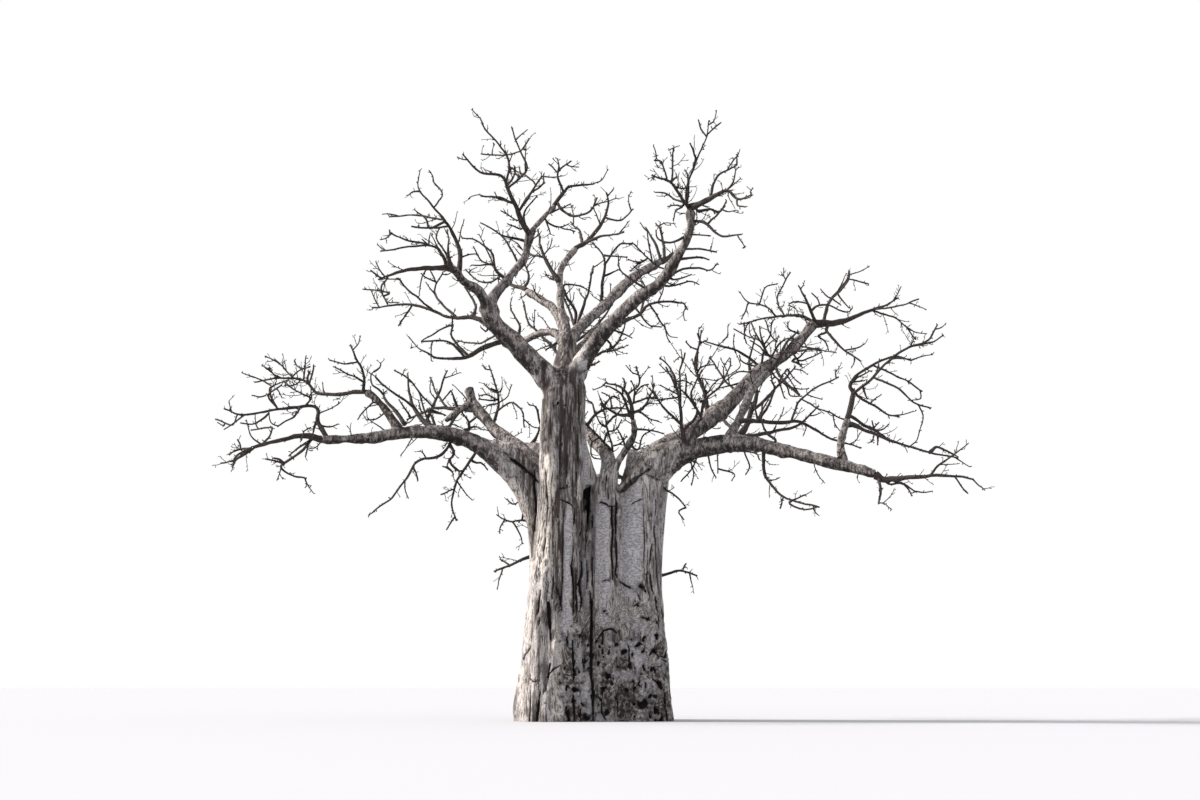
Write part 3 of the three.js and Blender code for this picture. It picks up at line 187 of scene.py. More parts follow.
# The masses of twigs: a stem with its girth at the root, and forks. A bend is across, up and away, and away
# is counted from the root. A stem is its bends after the root; a fork is the limb it leaves (0 is the stem),
# the share along that limb, and its bends.
masses = [
    dict(name="left_tip_twigs", on="left_bough", girth=0.13, stem=[
      -8.8, 8.5, -0.3, -10, 8.25, -0.8, -10.6, 8, -1, -10.85, 7.7, -1.1
    ], forks=[
      [0, 0.96, -11.2, 7.68, -1],
      [0, 0.1, -8.75, 8.1, 0.2, -9.4, 7.6, 0.6, -9.05, 7.35, 0.9, -8.6, 7.25, 1.2],
      [2, 0.45, -9.9, 7.8, 0.2], [0, 0.5, -9.7, 8.75, 0.3, -10.3, 8.7, 0.9],
    ]),
    dict(name="left_arch_twigs", on="left_bough", root=[-8.05, 8.4], girth=0.15, stem=[
      -8.25, 8.9, 0.3, -8.4, 9.38, 0.6, -9.4, 9.35, 0.5, -10.5, 9.13, 0.2, -11.15, 9.35, 0
    ], forks=[
      [0, 0.86, -10.9, 8.85, 0.6, -11.4, 9, 0.9], [0, 0.62, -9.8, 9.75, -0.2, -9.4, 10.05, -0.6],
      [0, 0.5, -9, 9.1, -0.4, -9.5, 8.8, -0.7],
    ]),
    dict(name="left_level_twigs", on="left_rise", girth=0.14, stem=[
      -7.6, 9.8, 0.4, -8.3, 9.78, 0.7, -8.65, 10.15, 0.8, -9.3, 10.3, 1, -10.2, 10.15, 1.4
    ], forks=[
      [0, 0.03, -6.92, 10.3, -0.3, -7.15, 10.85, -0.6, -7.3, 11.25, -0.6],
      [1, 0.6, -7.6, 10.7, -1, -8, 10.8, -1.2], [0, 0.55, -8.45, 10.65, 0.3],
      [0, 0.72, -9.3, 10.55, 1.3, -9.6, 10.8, 1.6],
    ]),
    dict(name="left_inner_twigs", on="broken_bough", root=[-3.5, 9.3], girth=0.15, stem=[
      -4.3, 9.35, 0.7, -4.95, 9.3, 1.2, -5.65, 9, 1.8
    ], forks=[
      [0, 0.6, -5.25, 9.8, 1, -5.6, 10.25, 0.8, -6, 10.5, 1.2], [0, 0.4, -4.75, 9.8, 1.6, -4.9, 10.3, 2.4],
    ]),
    dict(name="broken_bough_twigs", on="broken_bough", root=[-3.05, 8.8], girth=0.1, stem=[
      -2.85, 9.4, 0.2, -2.92, 10, 0.5, -3.15, 10.65, 0.8
    ], forks=[
      [0, 0.25, -2.5, 9.5, -0.3, -2.2, 9.35, -0.6, -2.1, 8.75, -0.8], [0, 0.55, -3.3, 10.1, 1.2],
    ]),
    dict(name="left_hanging_twigs", on="left_bough", root=[-4.15, 8.5], girth=0.1, stem=[
      -4.55, 7.93, -0.3, -5.25, 7.72, -0.8, -5.75, 7.1, -1.2, -6.05, 6.65, -1.3, -6.55, 6.3, -1.4
    ], forks=[
      [0, 0.45, -5.3, 7.2, -0.4],
    ]),
    dict(name="left_low_twigs", on="left_bough", root=[-3.4, 8.2], girth=0.1, stem=[
      -3.75, 7.7, 0.3, -4.1, 7.15, 0.6, -4.25, 6.55, 0.7, -4.1, 5.95, 0.8
    ], forks=[
      [0, 0.95, -4.4, 5.7, 1], [0, 0.6, -4.6, 6.75, 0.2],
    ]),
    dict(name="trunk_left_twigs", on="trunk", root=[-1.55, 5.05, 0], girth=0.13, stem=[
      -2.35, 4.7, -0.1, -3, 4.4, -0.2
    ], forks=[
      [0, 0.62, -2.8, 4.8, 0.2],
    ]),
    dict(name="upper_left_low_twigs", on="upper_left_fork", girth=0.17, stem=[
      -4.7, 13.62, -0.4, -5.45, 13.6, -0.9, -6.1, 13.4, -1.3, -6.5, 13.25, -1.6
    ], forks=[
      [0, 0.95, -6.75, 13.55, -1.8], [0, 0.8, -6.4, 12.95, -0.8, -6.2, 12.55, -0.6],
      [0, 0.1, -4.6, 14, -0.2, -5, 14.3, 0, -6.45, 14.15, 0.4],
      [3, 0.6, -5.6, 14.5, -0.4, -6.15, 14.7, -0.7], [0, 0.04, -4.38, 13.98, -0.7, -4.4, 14.4, -1],
    ]),
    dict(name="upper_left_rod_twigs", on="upper_left_fork", root=[-4.05, 13.4], girth=0.17, stem=[
      -4.02, 14, 0.2, -4.25, 14.7, 0.3, -4.6, 15.15, 0.2, -5.3, 16, -0.2
    ], forks=[
      [0, 0.72, -5.2, 15.22, 0.8, -6.2, 15.2, 1.4], [0, 0.6, -5, 14.85, -0.7, -5.5, 14.9, -1.2],
      [0, 0.85, -4.6, 15.9, 0.7, -4.9, 16.3, 0.9],
    ]),
    dict(name="upper_left_top_twigs", on="upper_left_rise", girth=0.15, stem=[
      -2.25, 15.3, -0.3, -2.55, 15.95, -0.6, -2.8, 16.4, -0.8, -3.5, 16.62, -1.1, -4, 17.15, -1.3
    ], forks=[
      [0, 0.45, -2.2, 16.35, -0.3, -2, 16.7, 0.1, -2.25, 17.2, 0.4, -2.5, 17.95, 0.5],
      [1, 0.75, -2.8, 17.05, 1, -3.4, 17.15, 1.4], [1, 0.75, -1.95, 17.6, 0],
      [0, 0.5, -2.6, 16.9, -1.2, -3, 17.55, -1.6, -3.4, 18.05, -1.8],
      [0, 0.3, -2.9, 15.8, -1.1, -3.4, 15.8, -1.6], [0, 0.22, -1.95, 15.9, -0.9, -1.55, 16.45, -1.3],
    ]),
    dict(name="upper_left_arm_twigs", on="upper_left_arm", girth=0.14, stem=[
      -0.95, 15.9, 0.3, -0.65, 16.15, 0.6, 0.05, 16.2, 1.2
    ], forks=[
      [0, 0.35, -1.1, 16.55, -0.2, -0.7, 16.9, -0.5],
      [0, 0.12, -0.7, 15.25, -0.4, -0.1, 15.35, -0.9, 0.1, 15.75, -1.2], [1, 0.5, -1.35, 16.8, 0.2],
    ]),
    dict(name="knuckle_twigs", on="upper_left_bough", root=[-3, 11.95], girth=0.17, stem=[
      -3.7, 12.1, 0.5, -4.3, 12.1, 0.9, -5.5, 12.5, 1.6, -6.7, 12.45, 2.2
    ], forks=[
      [0, 0.45, -4.8, 12.85, 1.9, -4.55, 13.5, 2.3], [0, 0.22, -3.6, 12.5, 1.3, -4, 13.25, 2.1],
      [0, 0.62, -5.65, 13, 1, -5.9, 13.3, 0.8], [0, 0.75, -5.9, 11.85, 2.3],
    ]),
    dict(name="under_knuckle_twigs", on="upper_left_bough", root=[-2.55, 11.5], girth=0.18, stem=[
      -3.4, 11.15, -0.5, -3.9, 10.87, -0.9, -4.6, 10.85, -1.3, -5.1, 11.05, -1.5
    ], forks=[
      [0, 0.42, -4.25, 11.5, -0.4, -4.2, 11.9, -0.6], [0, 0.48, -4.45, 11.4, -1.5, -5.2, 11.4, -2],
    ]),
    dict(name="central_top_twigs", on="central_rise", girth=0.15, stem=[
      -0.1, 14.5, 0.4, 0.3, 15.05, 0.8, 0.45, 15.6, 0.9, 0.4, 15.95, 1
    ], forks=[
      [0, 0.9, 0.62, 16.05, 1.4], [0, 0.55, 0.85, 15.12, 1.4, 1.2, 15.4, 1.9],
      [0, 0.16, 0.3, 14.62, -0.2, 0.95, 14.72, -0.7], [0, 0.12, -0.4, 14.7, 0.9, -0.7, 15.05, 1.4],
    ]),
    dict(name="central_link_twigs", on="central_rise", root=[-1, 13.15], girth=0.15, stem=[
      -1.4, 13.75, 0.4, -1.6, 14.3, 0.9, -1.7, 14.8, 1.5
    ], forks=[
      [0, 0.45, -1.9, 14, 1.2, -2.3, 14.3, 1.9],
    ]),
    dict(name="central_left_twigs", on="central_left_limb", girth=0.15, stem=[
      -2.5, 13.15, 0.9, -2.9, 13.5, 1.9, -3.2, 14.1, 2.8
    ], forks=[
      [0, 0.08, -1.95, 13.3, 0.6, -2.1, 13.8, 1], [0, 0.55, -3.4, 13.2, 2.4, -3.9, 13.6, 3],
    ]),
    dict(name="central_low_twigs", on="central_low_limb", girth=0.15, stem=[
      -2.7, 11.45, 1, -3.2, 11.8, 2, -3.7, 12.3, 2.8
    ], forks=[
      [0, 0.1, -2.25, 11.9, 0.6, -2.5, 12.35, 0.9], [0, 0.5, -3.5, 11.3, 2.3, -4.1, 11.4, 3],
      [0, 0.65, -2.9, 12.4, 3],
    ]),
    dict(name="inner_right_twigs", on="inner_right_bough", girth=0.16, stem=[
      2.5, 14.05, 0.8, 2.9, 14.45, 1.6, 3.1, 15, 2.2
    ], forks=[
      [0, 0.05, 1.85, 14.4, 0.4, 1.6, 14.85, 0.8], [0, 0.1, 2.1, 14.6, 1.3, 1.9, 15, 2],
      [0, 0.45, 3.2, 14.2, 0.9, 3.7, 14.1, 0.8],
    ]),
    dict(name="inner_low_twigs", on="inner_low_bough", girth=0.13, stem=[
      1.35, 12.2, 0.7, 1.7, 12.5, 1.2, 2.6, 12.6, 2.2, 2.85, 12.35, 2.8
    ], forks=[
      [0, 0.5, 2, 12.05, 2, 2.2, 11.7, 2.4], [0, 0.3, 1.6, 12.9, 1.8, 1.5, 13.2, 2.6],
    ]),
    dict(name="right_crown_twigs", on="right_crown_bough", girth=0.16, stem=[
      2.85, 15.75, -0.2, 2.9, 16.3, -0.3, 3.15, 16.95, -0.2, 3.45, 17.65, 0.1, 3.5, 18.2, 0.2
    ], forks=[
      [0, 0.08, 2.6, 15.9, -0.8, 2.3, 16.3, -1.2, 1.75, 16.45, -1.6],
      [1, 0.7, 2.1, 16.85, -1.9, 1.85, 16.95, -2.2],
      [0, 0.1, 3.5, 15.75, 0.5, 3.75, 16.4, 1, 4.35, 16.75, 1.4], [3, 0.85, 4.4, 17.15, 1.8],
      [0, 0.04, 3.6, 15.8, -0.6, 4.05, 16, -1, 4.4, 15.7, -1.3, 4.8, 15.85, -1.6],
      [0, 0.6, 2.9, 17.45, -0.8], [0, 0.82, 3.85, 18.1, 0.8], [1, 0.6, 2.4, 17, -0.8, 2.4, 17.3, -0.6],
    ]),
    dict(name="right_crown_side_twigs", on="right_crown_bough", root=[2.93, 15.05], girth=0.11, stem=[
      3.45, 14.95, -0.3, 3.85, 14.6, -0.6, 4.5, 14.65, -1
    ], forks=[
      [0, 0.35, 3.7, 15.2, 0.2, 4, 15.5, 0.6],
    ]),
    dict(name="notch_twigs", on="notch_limb", girth=0.13, stem=[
      1.1, 9.6, -0.3, 0.85, 10, -0.6, 0.35, 10.12, -0.9
    ], forks=[
      [0, 0.1, 1.6, 9.45, -0.5, 1.85, 10.05, -0.8], [0, 0.05, 0.65, 9.2, -0.4, 0.2, 9.5, -0.7],
      [0, 0.45, 1.4, 10.1, 0.1, 1.3, 10.6, 0.2],
    ]),
    dict(name="notch_bough_twigs", on="notch_bough", girth=0.2, stem=[
      -0.75, 11, 0.7, -0.5, 11.8, 1.6, -0.2, 12.8, 2.2, 0, 13.7, 2.4
    ], forks=[
      [0, 0.15, -1.3, 11.3, 1.2, -1.9, 11.9, 2, -2.1, 12.6, 2.6], [0, 0.35, 0.2, 12, 0.9, 0.7, 12.7, 1.3],
      [0, 0.5, -0.9, 12.7, 2.9, -1.2, 13.5, 3.4], [0, 0.08, 0, 10.9, 1.6, 0.7, 11.3, 2.9, 1, 12, 3.6],
    ]),
    dict(name="right_shrub_twigs", on="right_bough", root=[2.75, 8.05], girth=0.16, stem=[
      2.68, 8.7, -0.4, 2.6, 9.6, -0.9, 2.2, 10.6, -1.3
    ], forks=[
      [0, 0.3, 3.15, 9.2, -0.6, 2.95, 9.85, -1, 3.3, 10.5, -1.4], [0, 0.4, 2.1, 9.4, -1.4, 1.8, 9.9, -1.9],
      [0, 0.6, 2.6, 10.3, -0.5, 2.8, 11, -0.3],
    ]),
    dict(name="high_right_shrub_twigs", on="high_right_bough", root=[3.5, 9.05], girth=0.16, stem=[
      3.35, 9.8, 0.5, 3.1, 10.6, 1, 3.25, 11.7, 1.5
    ], forks=[
      [0, 0.3, 3.8, 10.2, 0.9, 4.4, 10.6, 1.3, 4.2, 11.2, 1.8], [0, 0.5, 2.6, 10.9, 1.6, 2.3, 11.4, 2.2],
      [0, 0.55, 3.7, 11.1, 0.4, 4.1, 11.6, 0.1],
    ]),
    dict(name="right_tip_twigs", on="right_bough_outer", girth=0.17, stem=[
      8.78, 7.2, -0.1, 9.6, 7.3, -0.4, 10.85, 7.3, -0.8, 11.45, 7.2, -1
    ], forks=[
      [0, 0.75, 11.25, 6.78, -0.4], [0, 0.3, 9.35, 7.02, 0.3, 9.65, 6.8, 0.6],
      [0, 0.6, 10.5, 7.7, -0.2, 10.85, 7.98, 0.2], [0, 0.1, 8.62, 6.85, -0.5, 8.6, 6.45, -0.8],
    ]),
    dict(name="right_upright_twigs", on="right_upright", girth=0.15, stem=[
      7.82, 9.75, 0.3, 7.75, 10.05, 0.4, 8.1, 10.42, 0.7, 9, 10.92, 1.3, 9.6, 10.8, 1.7
    ], forks=[
      [0, 0.22, 8.3, 10.15, -0.2, 9.3, 11.1, -0.8, 10.1, 11.4, -1.2, 10.4, 11.9, -1.3],
      [0, 0.04, 8.3, 8.75, 0.7, 9.05, 8.35, 1.3, 10.15, 8, 1.9, 11, 7.85, 2.3],
      [1, 0.3, 9.2, 9.95, -0.7, 9.7, 9.5, -0.9, 10.15, 9.35, -0.9],
      [0, 0.35, 8.15, 9.6, 1, 8.75, 9.2, 1.5, 9.2, 9.1, 1.9], [0, 0.68, 9.2, 10.3, 1.5, 9.95, 9.9, 2],
    ]),
    dict(name="right_hanging_twigs", on="right_bough_outer", root=[5.15, 8.2], girth=0.12, stem=[
      5.15, 7.5, -0.3, 5.3, 7.1, -0.5, 5.8, 6.65, -0.9, 6.8, 6.35, -1.3
    ], forks=[
      [0, 0.72, 5.6, 6.35, -1.4], [0, 0.8, 6.4, 6.75, -0.5],
    ]),
    dict(name="high_right_twigs", on="high_right_bough", girth=0.17, stem=[
      7.4, 11.95, 0.4, 8, 12.15, 0.6, 8.6, 12.4, 0.8, 9.25, 12.72, 1
    ], forks=[
      [0, 0.72, 9.2, 12.45, 0.3, 9.85, 12.65, 0], [0, 0.68, 9.2, 12.05, 1.4, 9.75, 11.45, 1.9],
      [0, 0.06, 6.1, 12.15, 0.6, 5.4, 12.1, 1.1, 4.4, 11.9, 1.7],
      [3, 0.62, 5.2, 12.45, 0.7, 4.7, 12.58, 0.4], [3, 0.5, 5.55, 12.7, 1.6, 5.95, 13.5, 2],
      [0, 0.03, 6.45, 12.6, -0.5, 6.2, 13.1, -0.9],
      [0, 0.1, 7.15, 12.6, 0.9, 7.65, 13.15, 1.4, 7.75, 13.55, 1.6], [7, 0.75, 8.3, 13.15, 1.9],
      [0, 0.15, 7.1, 11.65, -0.3, 7.55, 11.15, -0.6, 8.05, 10.75, -0.8],
    ]),
    dict(name="right_tangle_twigs", on="right_inner_limb", girth=0.16, stem=[
      5.6, 10.8, 0.2, 5.8, 11.3, 0.2, 6.2, 11.7, 0.3
    ], forks=[
      [0, 0.2, 5.75, 10.2, -0.4, 6.2, 9.75, -0.8], [0, 0.35, 5.1, 11, -0.4, 4.6, 11.3, -0.7],
      [0, 0.5, 6.3, 11.1, -0.5, 6.8, 11.1, -0.9],
    ]),
    dict(name="right_middle_twigs", on="right_inner_limb", root=[4.32, 8.9], girth=0.16, stem=[
      4.75, 8.97, -0.2, 5.6, 8.92, -0.2, 6.35, 8.9, 0.1, 7.1, 8.45, 0.5, 8.05, 8.15, 0.8
    ], forks=[
      [0, 0.5, 6.25, 9.6, 0.6, 6.8, 10, 1.1, 7.4, 10.3, 1.5], [1, 0.35, 6.9, 9.3, 0.4, 7.65, 8.95, 0.3],
      [0, 0.25, 5.3, 9.5, -0.8, 5.5, 10, -1.1],
    ]),
    dict(name="trunk_right_twigs", on="trunk", root=[1.8, 4.25, 0.1], girth=0.1, stem=[
      2.6, 4.45, 0, 3.1, 4.3, 0.1
    ], forks=[
      [0, 0.6, 2.8, 4.65, 0.4],
    ]),
    dict(name="back_left_twigs", on="back_left_bough", girth=0.22, stem=[
      -5.1, 8.95, 0.6, -5.5, 9.6, 1.1, -5.6, 10.4, 1.5
    ], forks=[
      [0, 0.1, -5.4, 8.6, 0.8, -6.3, 8.7, 1.4], [0, 0.3, -4.7, 9.7, 1.2, -4.4, 10.5, 1.8],
      [0, 0.55, -6.1, 9.9, 0.5, -6.6, 10.3, 0.2], [0, 0.05, -4.2, 9, 1.4, -3.7, 9.8, 2.2],
    ]),
    dict(name="back_right_twigs", on="back_right_bough", girth=0.22, stem=[
      4.6, 8.9, 0.7, 4.9, 9.8, 1.3, 4.7, 10.7, 1.8, 4.9, 11.6, 2
    ], forks=[
      [0, 0.08, 5.2, 8.6, 0.4, 6.1, 8.8, 0.7, 6.8, 9.4, 0.9], [0, 0.35, 5.6, 10, 1, 6.1, 10.6, 1.2],
      [0, 0.4, 4, 10.2, 2, 3.5, 10.9, 2.4], [0, 0.1, 3.9, 9, 1.6, 3.3, 9.6, 2.4],
    ]),
]


def place(points):
    # World place of a point seen at (across, up), moved along its line of sight to depth away.
    across, up, away = np.moveaxis(np.asarray(points, float), -1, 0)
    spread = 1 + away / eye["distance"]
    x = eye["across"] + (across - eye["across"]) * spread
    z = eye["height"] + (up - eye["height"]) * spread
    return np.stack([x, away, z], -1)


def seen(points):
    # The same way back: where a place is seen from the eye, and its depth.
    x, away, z = np.moveaxis(np.asarray(points, float), -1, 0)
    spread = 1 + away / eye["distance"]
    across = eye["across"] + (x - eye["across"]) / spread
    up = eye["height"] + (z - eye["height"]) / spread
    return np.stack([across, up, away], -1)


def curveAt(bends, shares):
    # Smooth curve through the bends: a cubic on each stretch, whose slope at a bend is half the step
    # from the bend before it to the one after it. Past the ends the line runs on straight.
    bends = np.asarray(bends, float)
    first, last = bends[..., :1, :], bends[..., -1:, :]
    run = np.concatenate([2 * first - bends[..., 1:2, :], bends, 2 * last - bends[..., -2:-1, :]], -2)
    stretches = bends.shape[-2] - 1
    along = np.asarray(shares, float) * stretches
    before = np.clip(np.floor(along).astype(int), 0, stretches - 1)
    part = (along - before)[..., None]
    a, b, c, d = (run[..., before + k, :] for k in range(4))
    leave, arrive = (c - a) / 2, (d - b) / 2
    square, cube = 3 * (c - b) - 2 * leave - arrive, 2 * (b - c) + leave + arrive
    return b + part * (leave + part * (square + part * cube))


def headingAt(bends, share):
    # Unit heading of the curve: the step between two points close before and after the share.
    near = 1e-4
    ends = curveAt(bends, np.clip([share - near, share + near], 0, 1))
    return unit(ends[1] - ends[0])


def unit(vectors):
    return vectors / np.maximum(np.linalg.norm(vectors, axis=-1, keepdims=True), 1e-9)


def lengthOf(bends):
    return np.linalg.norm(np.diff(curveAt(bends, np.linspace(0, 1, 201)), axis=0), axis=1).sum()


def seeded(seed):
    # Even numbers from 0 to 1 from a 32-bit mix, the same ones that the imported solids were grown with.
    state, low = seed, 0xFFFFFFFF

    def draw():
        nonlocal state
        state = (state + 0x6D2B79F5) & low
        mixed = ((state ^ (state >> 15)) * (1 | state)) & low
        mixed = ((mixed + (((mixed ^ (mixed >> 7)) * (61 | mixed)) & low)) & low) ^ mixed
        return (mixed ^ (mixed >> 14)) / (low + 1)

    return draw


def cellChance(cells, seed):
    # One even number from 0 to 1 for each whole-numbered cell, from a mix of its three coordinates.
    low = np.int64(0xFFFFFFFF)
    x, y, z = np.moveaxis(cells.astype(np.int64), -1, 0)
    mixed = (x * 374761393 + y * 668265263 + z * 1440662683 + seed * 974634777) & low
    mixed = ((mixed ^ (mixed >> 13)) * 1274126177) & low
    mixed = ((mixed ^ (mixed >> 15)) * 668265263) & low
    return ((mixed ^ (mixed >> 16)) & low) / float(low)


def noise(points, seed):
    # Value noise from -1 to 1: the chances at the eight corners of a point's cell, smoothly blended.
    cells = np.floor(points)
    part = points - cells
    part = part * part * (3 - 2 * part)
    total = 0
    for corner in np.ndindex(2, 2, 2):
        weight = np.prod(np.where(corner, part, 1 - part), -1)
        total = total + weight * cellChance(cells + corner, seed)
    return 2 * total - 1


def shifts(points, seed, ways=3):
    # A smooth shift each way, by noises with seeds in a row.
    return np.stack([noise(points, seed + k) for k in range(ways)], -1)


def fractal(points, seed, octaves=2):
    # Noise on top of noise, each twice as fine and half as strong as the last and shifted away from it.
    return sum(noise(points * 2**k + 17.3 * k, seed + k) / 2**k for k in range(octaves))


def ridged(points, seed, octaves=2):
    # Sharp crests where each noise crosses zero, laid on top of each other in the same way: 0 to 0.75.
    return sum((1 - np.abs(noise(points * 2**k + 9.1 * k, seed + k))) ** 2 / 2**k for k in range(octaves)) / 2


def strewn(points, seed):
    # Distance to the nearest of the spots strewn one in each cell, looked for in the cells round it.
    cells = np.floor(points)
    best = np.full(points.shape[:-1], np.inf)
    for near in np.ndindex(3, 3, 3):
        cell = cells + np.array(near) - 1
        spot = np.stack([cellChance(cell, seed + 31 * k) for k in range(3)], -1)
        best = np.minimum(best, np.linalg.norm(cell + spot - points, axis=-1))
    return best


def ramp(values, low, high):
    # 0 below low, 1 above high, smooth between.
    part = np.clip((values - low) / (high - low), 0, 1)
    return part * part * (3 - 2 * part)


def framesAlong(path):
    # Heading at each ring and a side carried on from ring to ring with no needless turn.
    heading = unit(np.gradient(path, axis=-2))
    steep = np.abs(heading[:, 0, 1:2]) > 0.9
    side = np.where(steep, [0, 0, 1.0], [0, 1.0, 0])
    sides = []
    for ring in range(path.shape[1]):
        side = unit(side - (side * heading[:, ring]).sum(-1, keepdims=True) * heading[:, ring])
        sides.append(side)
    side = np.stack(sides, 1)
    return heading, side, np.cross(heading, side)


def tubes(path, radius, sides, blunt=0.6):
    # Skin of round limbs: centre + radius (side cos turn + over sin turn) at each ring of each path,
    # closed at both ends by a fan, at the tip one that stands out by blunt of its radius. radius is one
    # number a ring, or one a corner.
    heading, side, over = framesAlong(path)
    count, rings = path.shape[:2]
    turn = np.arange(sides) / sides * 2 * np.pi
    out = side[:, :, None] * np.cos(turn)[:, None] + over[:, :, None] * np.sin(turn)[:, None]
    wide = radius if radius.ndim == 3 else radius[..., None]
    skin = path[:, :, None] + wide[..., None] * out
    tip = path[:, -1:] + heading[:, -1:] * (wide[:, -1:].mean(-1, keepdims=True) * blunt)
    corners = np.concatenate([path[:, :1], skin.reshape(count, rings * sides, 3), tip], 1)
    here = np.arange(sides)
    after = (here + 1) % sides
    ring = 1 + sides * np.arange(rings - 1)[:, None]
    a, b = (ring + here).ravel(), (ring + after).ravel()
    end = 1 + sides * (rings - 1)
    faces = np.concatenate([
        np.stack([0 * here, 1 + after, 1 + here], -1),
        np.stack([a, b, b + sides], -1),
        np.stack([a, b + sides, a + sides], -1),
        np.stack([end + here, end + after, 0 * here + end + sides], -1),
    ])
    step = rings * sides + 2
    faces = faces + step * np.arange(count)[:, None, None]
    return corners.reshape(-1, 3), faces.reshape(-1, 3)


def together(skins):
    # Several skins as one: corners one after another, faces shifted to match.
    shifts = np.cumsum([0] + [len(corners) for corners, faces in skins[:-1]])
    corners = np.concatenate([corners for corners, faces in skins])
    return corners, np.concatenate([faces + shift for (_, faces), shift in zip(skins, shifts)])


def meshOf(name, corners, faces, attributes=None, slots=None):
    # A mesh object from whole arrays: corners (n, 3), faces (n, 3 or 4), colours by corner, slots by face.
    mesh = bpy.data.meshes.new(name)
    mesh.vertices.add(len(corners))
    mesh.vertices.foreach_set("co", corners.astype(np.float32).ravel())
    mesh.loops.add(faces.size)
    mesh.loops.foreach_set("vertex_index", faces.astype(np.int32).ravel())
    mesh.polygons.add(len(faces))
    mesh.polygons.foreach_set("loop_start", np.arange(0, faces.size, faces.shape[1], dtype=np.int32))
    if slots is not None:
        mesh.polygons.foreach_set("material_index", slots.astype(np.int32))
    mesh.update(calc_edges=True)
    for title, colours in (attributes or {}).items():
        layer = mesh.color_attributes.new(title, "FLOAT_COLOR", "POINT")
        full = np.concatenate([colours, np.ones((len(colours), 1))], 1)
        layer.data.foreach_set("color", full.astype(np.float32).ravel())
    mesh.shade_smooth()
    made = bpy.data.objects.new(name, mesh)
    bpy.context.scene.collection.objects.link(made)
    return made


def pieceOf(name, skin, materials, stands, attributes=None, slots=None):
    # A finished piece: it rides on the one body and stands for the CAD nodes named.
    made = meshOf(name, *skin, attributes, slots)
    for material in materials:
        made.data.materials.append(material)
    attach(made, body)
    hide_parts(*stands)
    print(name, "has", len(skin[1]) * (skin[1].shape[1] - 2), "triangles")
    return made


def voxelSkin(skins, grain):
    # One closed skin round overlapping ones, of even quads grain metres wide.
    draft = meshOf("draft", *together(skins))
    remesh = draft.modifiers.new("remesh", "REMESH")
    remesh.mode = "VOXEL"
    remesh.voxel_size = grain
    made = draft.evaluated_get(bpy.context.evaluated_depsgraph_get()).to_mesh()
    corners = np.empty(len(made.vertices) * 3, np.float32)
    made.vertices.foreach_get("co", corners)
    faces = np.empty(len(made.loops), np.int32)
    made.loops.foreach_get("vertex_index", faces)
    bpy.data.objects.remove(draft)
    return corners.reshape(-1, 3).astype(float), faces.reshape(-1, 4)


def relaxed(corners, faces, rounds):
    # Each corner moves halfway to the mean of its neighbours, then a little more than halfway back out,
    # so that steps smooth away and the limb keeps its girth.
    ends = np.concatenate([faces, np.roll(faces, -1, 1)], 0).reshape(2, -1)
    here, there = np.concatenate([ends[0], ends[1]]), np.concatenate([ends[1], ends[0]])
    count = np.bincount(here, minlength=len(corners))[:, None]
    for pull in (0.5, -0.52) * rounds:
        mean = np.stack([np.bincount(here, corners[there, k], len(corners)) for k in range(3)], -1) / count
        corners = corners + pull * (mean - corners)
    return corners


def normalsOf(corners, faces):
    # Sum of the facing of the quads round each corner, made one long.
    a, b, c, d = (corners[faces[:, k]] for k in range(4))
    facing = np.cross(c - a, d - b)
    return unit(sum(
        np.stack([np.bincount(faces[:, k], facing[:, j], len(corners)) for j in range(3)], -1)
        for k in range(4)
    ))


# The limbs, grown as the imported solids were.

limbRule = {
    "taper": 1.15, "collar": 0.22, "forkGirth": 0.78, "tipGirth": 0.05, "gap": 0.0003,
    # spans that the clearance test makes of each stretch between two bends, or of a whole first twig
    "spans": {"stem": 2, "bough": 4, "mass": 2, "twig": 4},
}
bearerMark, twigMark = -2, -1  # numbers of the spans of trunk and boughs, and of first twigs

# The rule by which the first twigs branch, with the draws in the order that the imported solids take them.
twigRule = {
    "spacing": 1.1, "length": 0.95, "girth": 0.05, "lean": 0.95, "roll": 2.4, "rollDrift": 0.6,
    "placeDrift": 0.3, "lift": 0.25, "crook": 1.1, "elbow": 0.45, "shortest": 0.55, "longer": 0.6,
    "fade": 0.3, "tip": 0.6, "clear": 0.07, "probes": (0.34, 0.67, 1.0), "across": (0.3, 1.0, 0.2),
}


def limbOf(points, girth, collar=0.0):
    points = np.asarray(points, float)
    return {"points": points, "girth": girth, "collar": collar, "length": lengthOf(points)}


def radiusOf(limb, shares):
    # Half of: tip girth + (root - tip) (1 - share) to the taper, times a collar that dies away from the root.
    root, tip = limb["girth"]
    girth = tip + (root - tip) * (1 - shares) ** limbRule["taper"]
    return girth / 2 * (1 + limb["collar"] * np.exp(-shares * limb["length"] / root))


def stemRadius(girths, shares):
    # Girths at the bends, joined by the same smooth curve as the bends are.
    return curveAt(np.asarray(girths, float)[:, None], shares)[:, 0] / 2


def rootOn(parent, spec):
    # A full root is placed; one of two numbers is the nearest point of the parent's axis as seen; no
    # root is the parent's tip.
    root = spec.get("root")
    if root is None:
        return parent["points"][-1] + headingAt(parent["points"], 1.0) * limbRule["gap"]
    if len(root) == 3:
        return place(root)
    axis = curveAt(parent["points"], np.linspace(0, 1, 81))
    return axis[np.linalg.norm(seen(axis)[:, :2] - root, axis=1).argmin()]


def growBoughs():
    # A bough has a collar where it leaves another one, and none where it goes on from its tip.
    grown = {}
    for spec in boughs:
        tip = spec.get("tip", False)
        first, rest = (None, spec["bends"]) if tip else (spec["bends"][0], spec["bends"][1:])
        root = rootOn(grown.get(spec["on"]), {"root": first})
        points = np.concatenate([root[None], place(rest)])
        grown[spec["name"]] = limbOf(points, spec["girth"], 0.0 if tip else limbRule["collar"])
    return grown


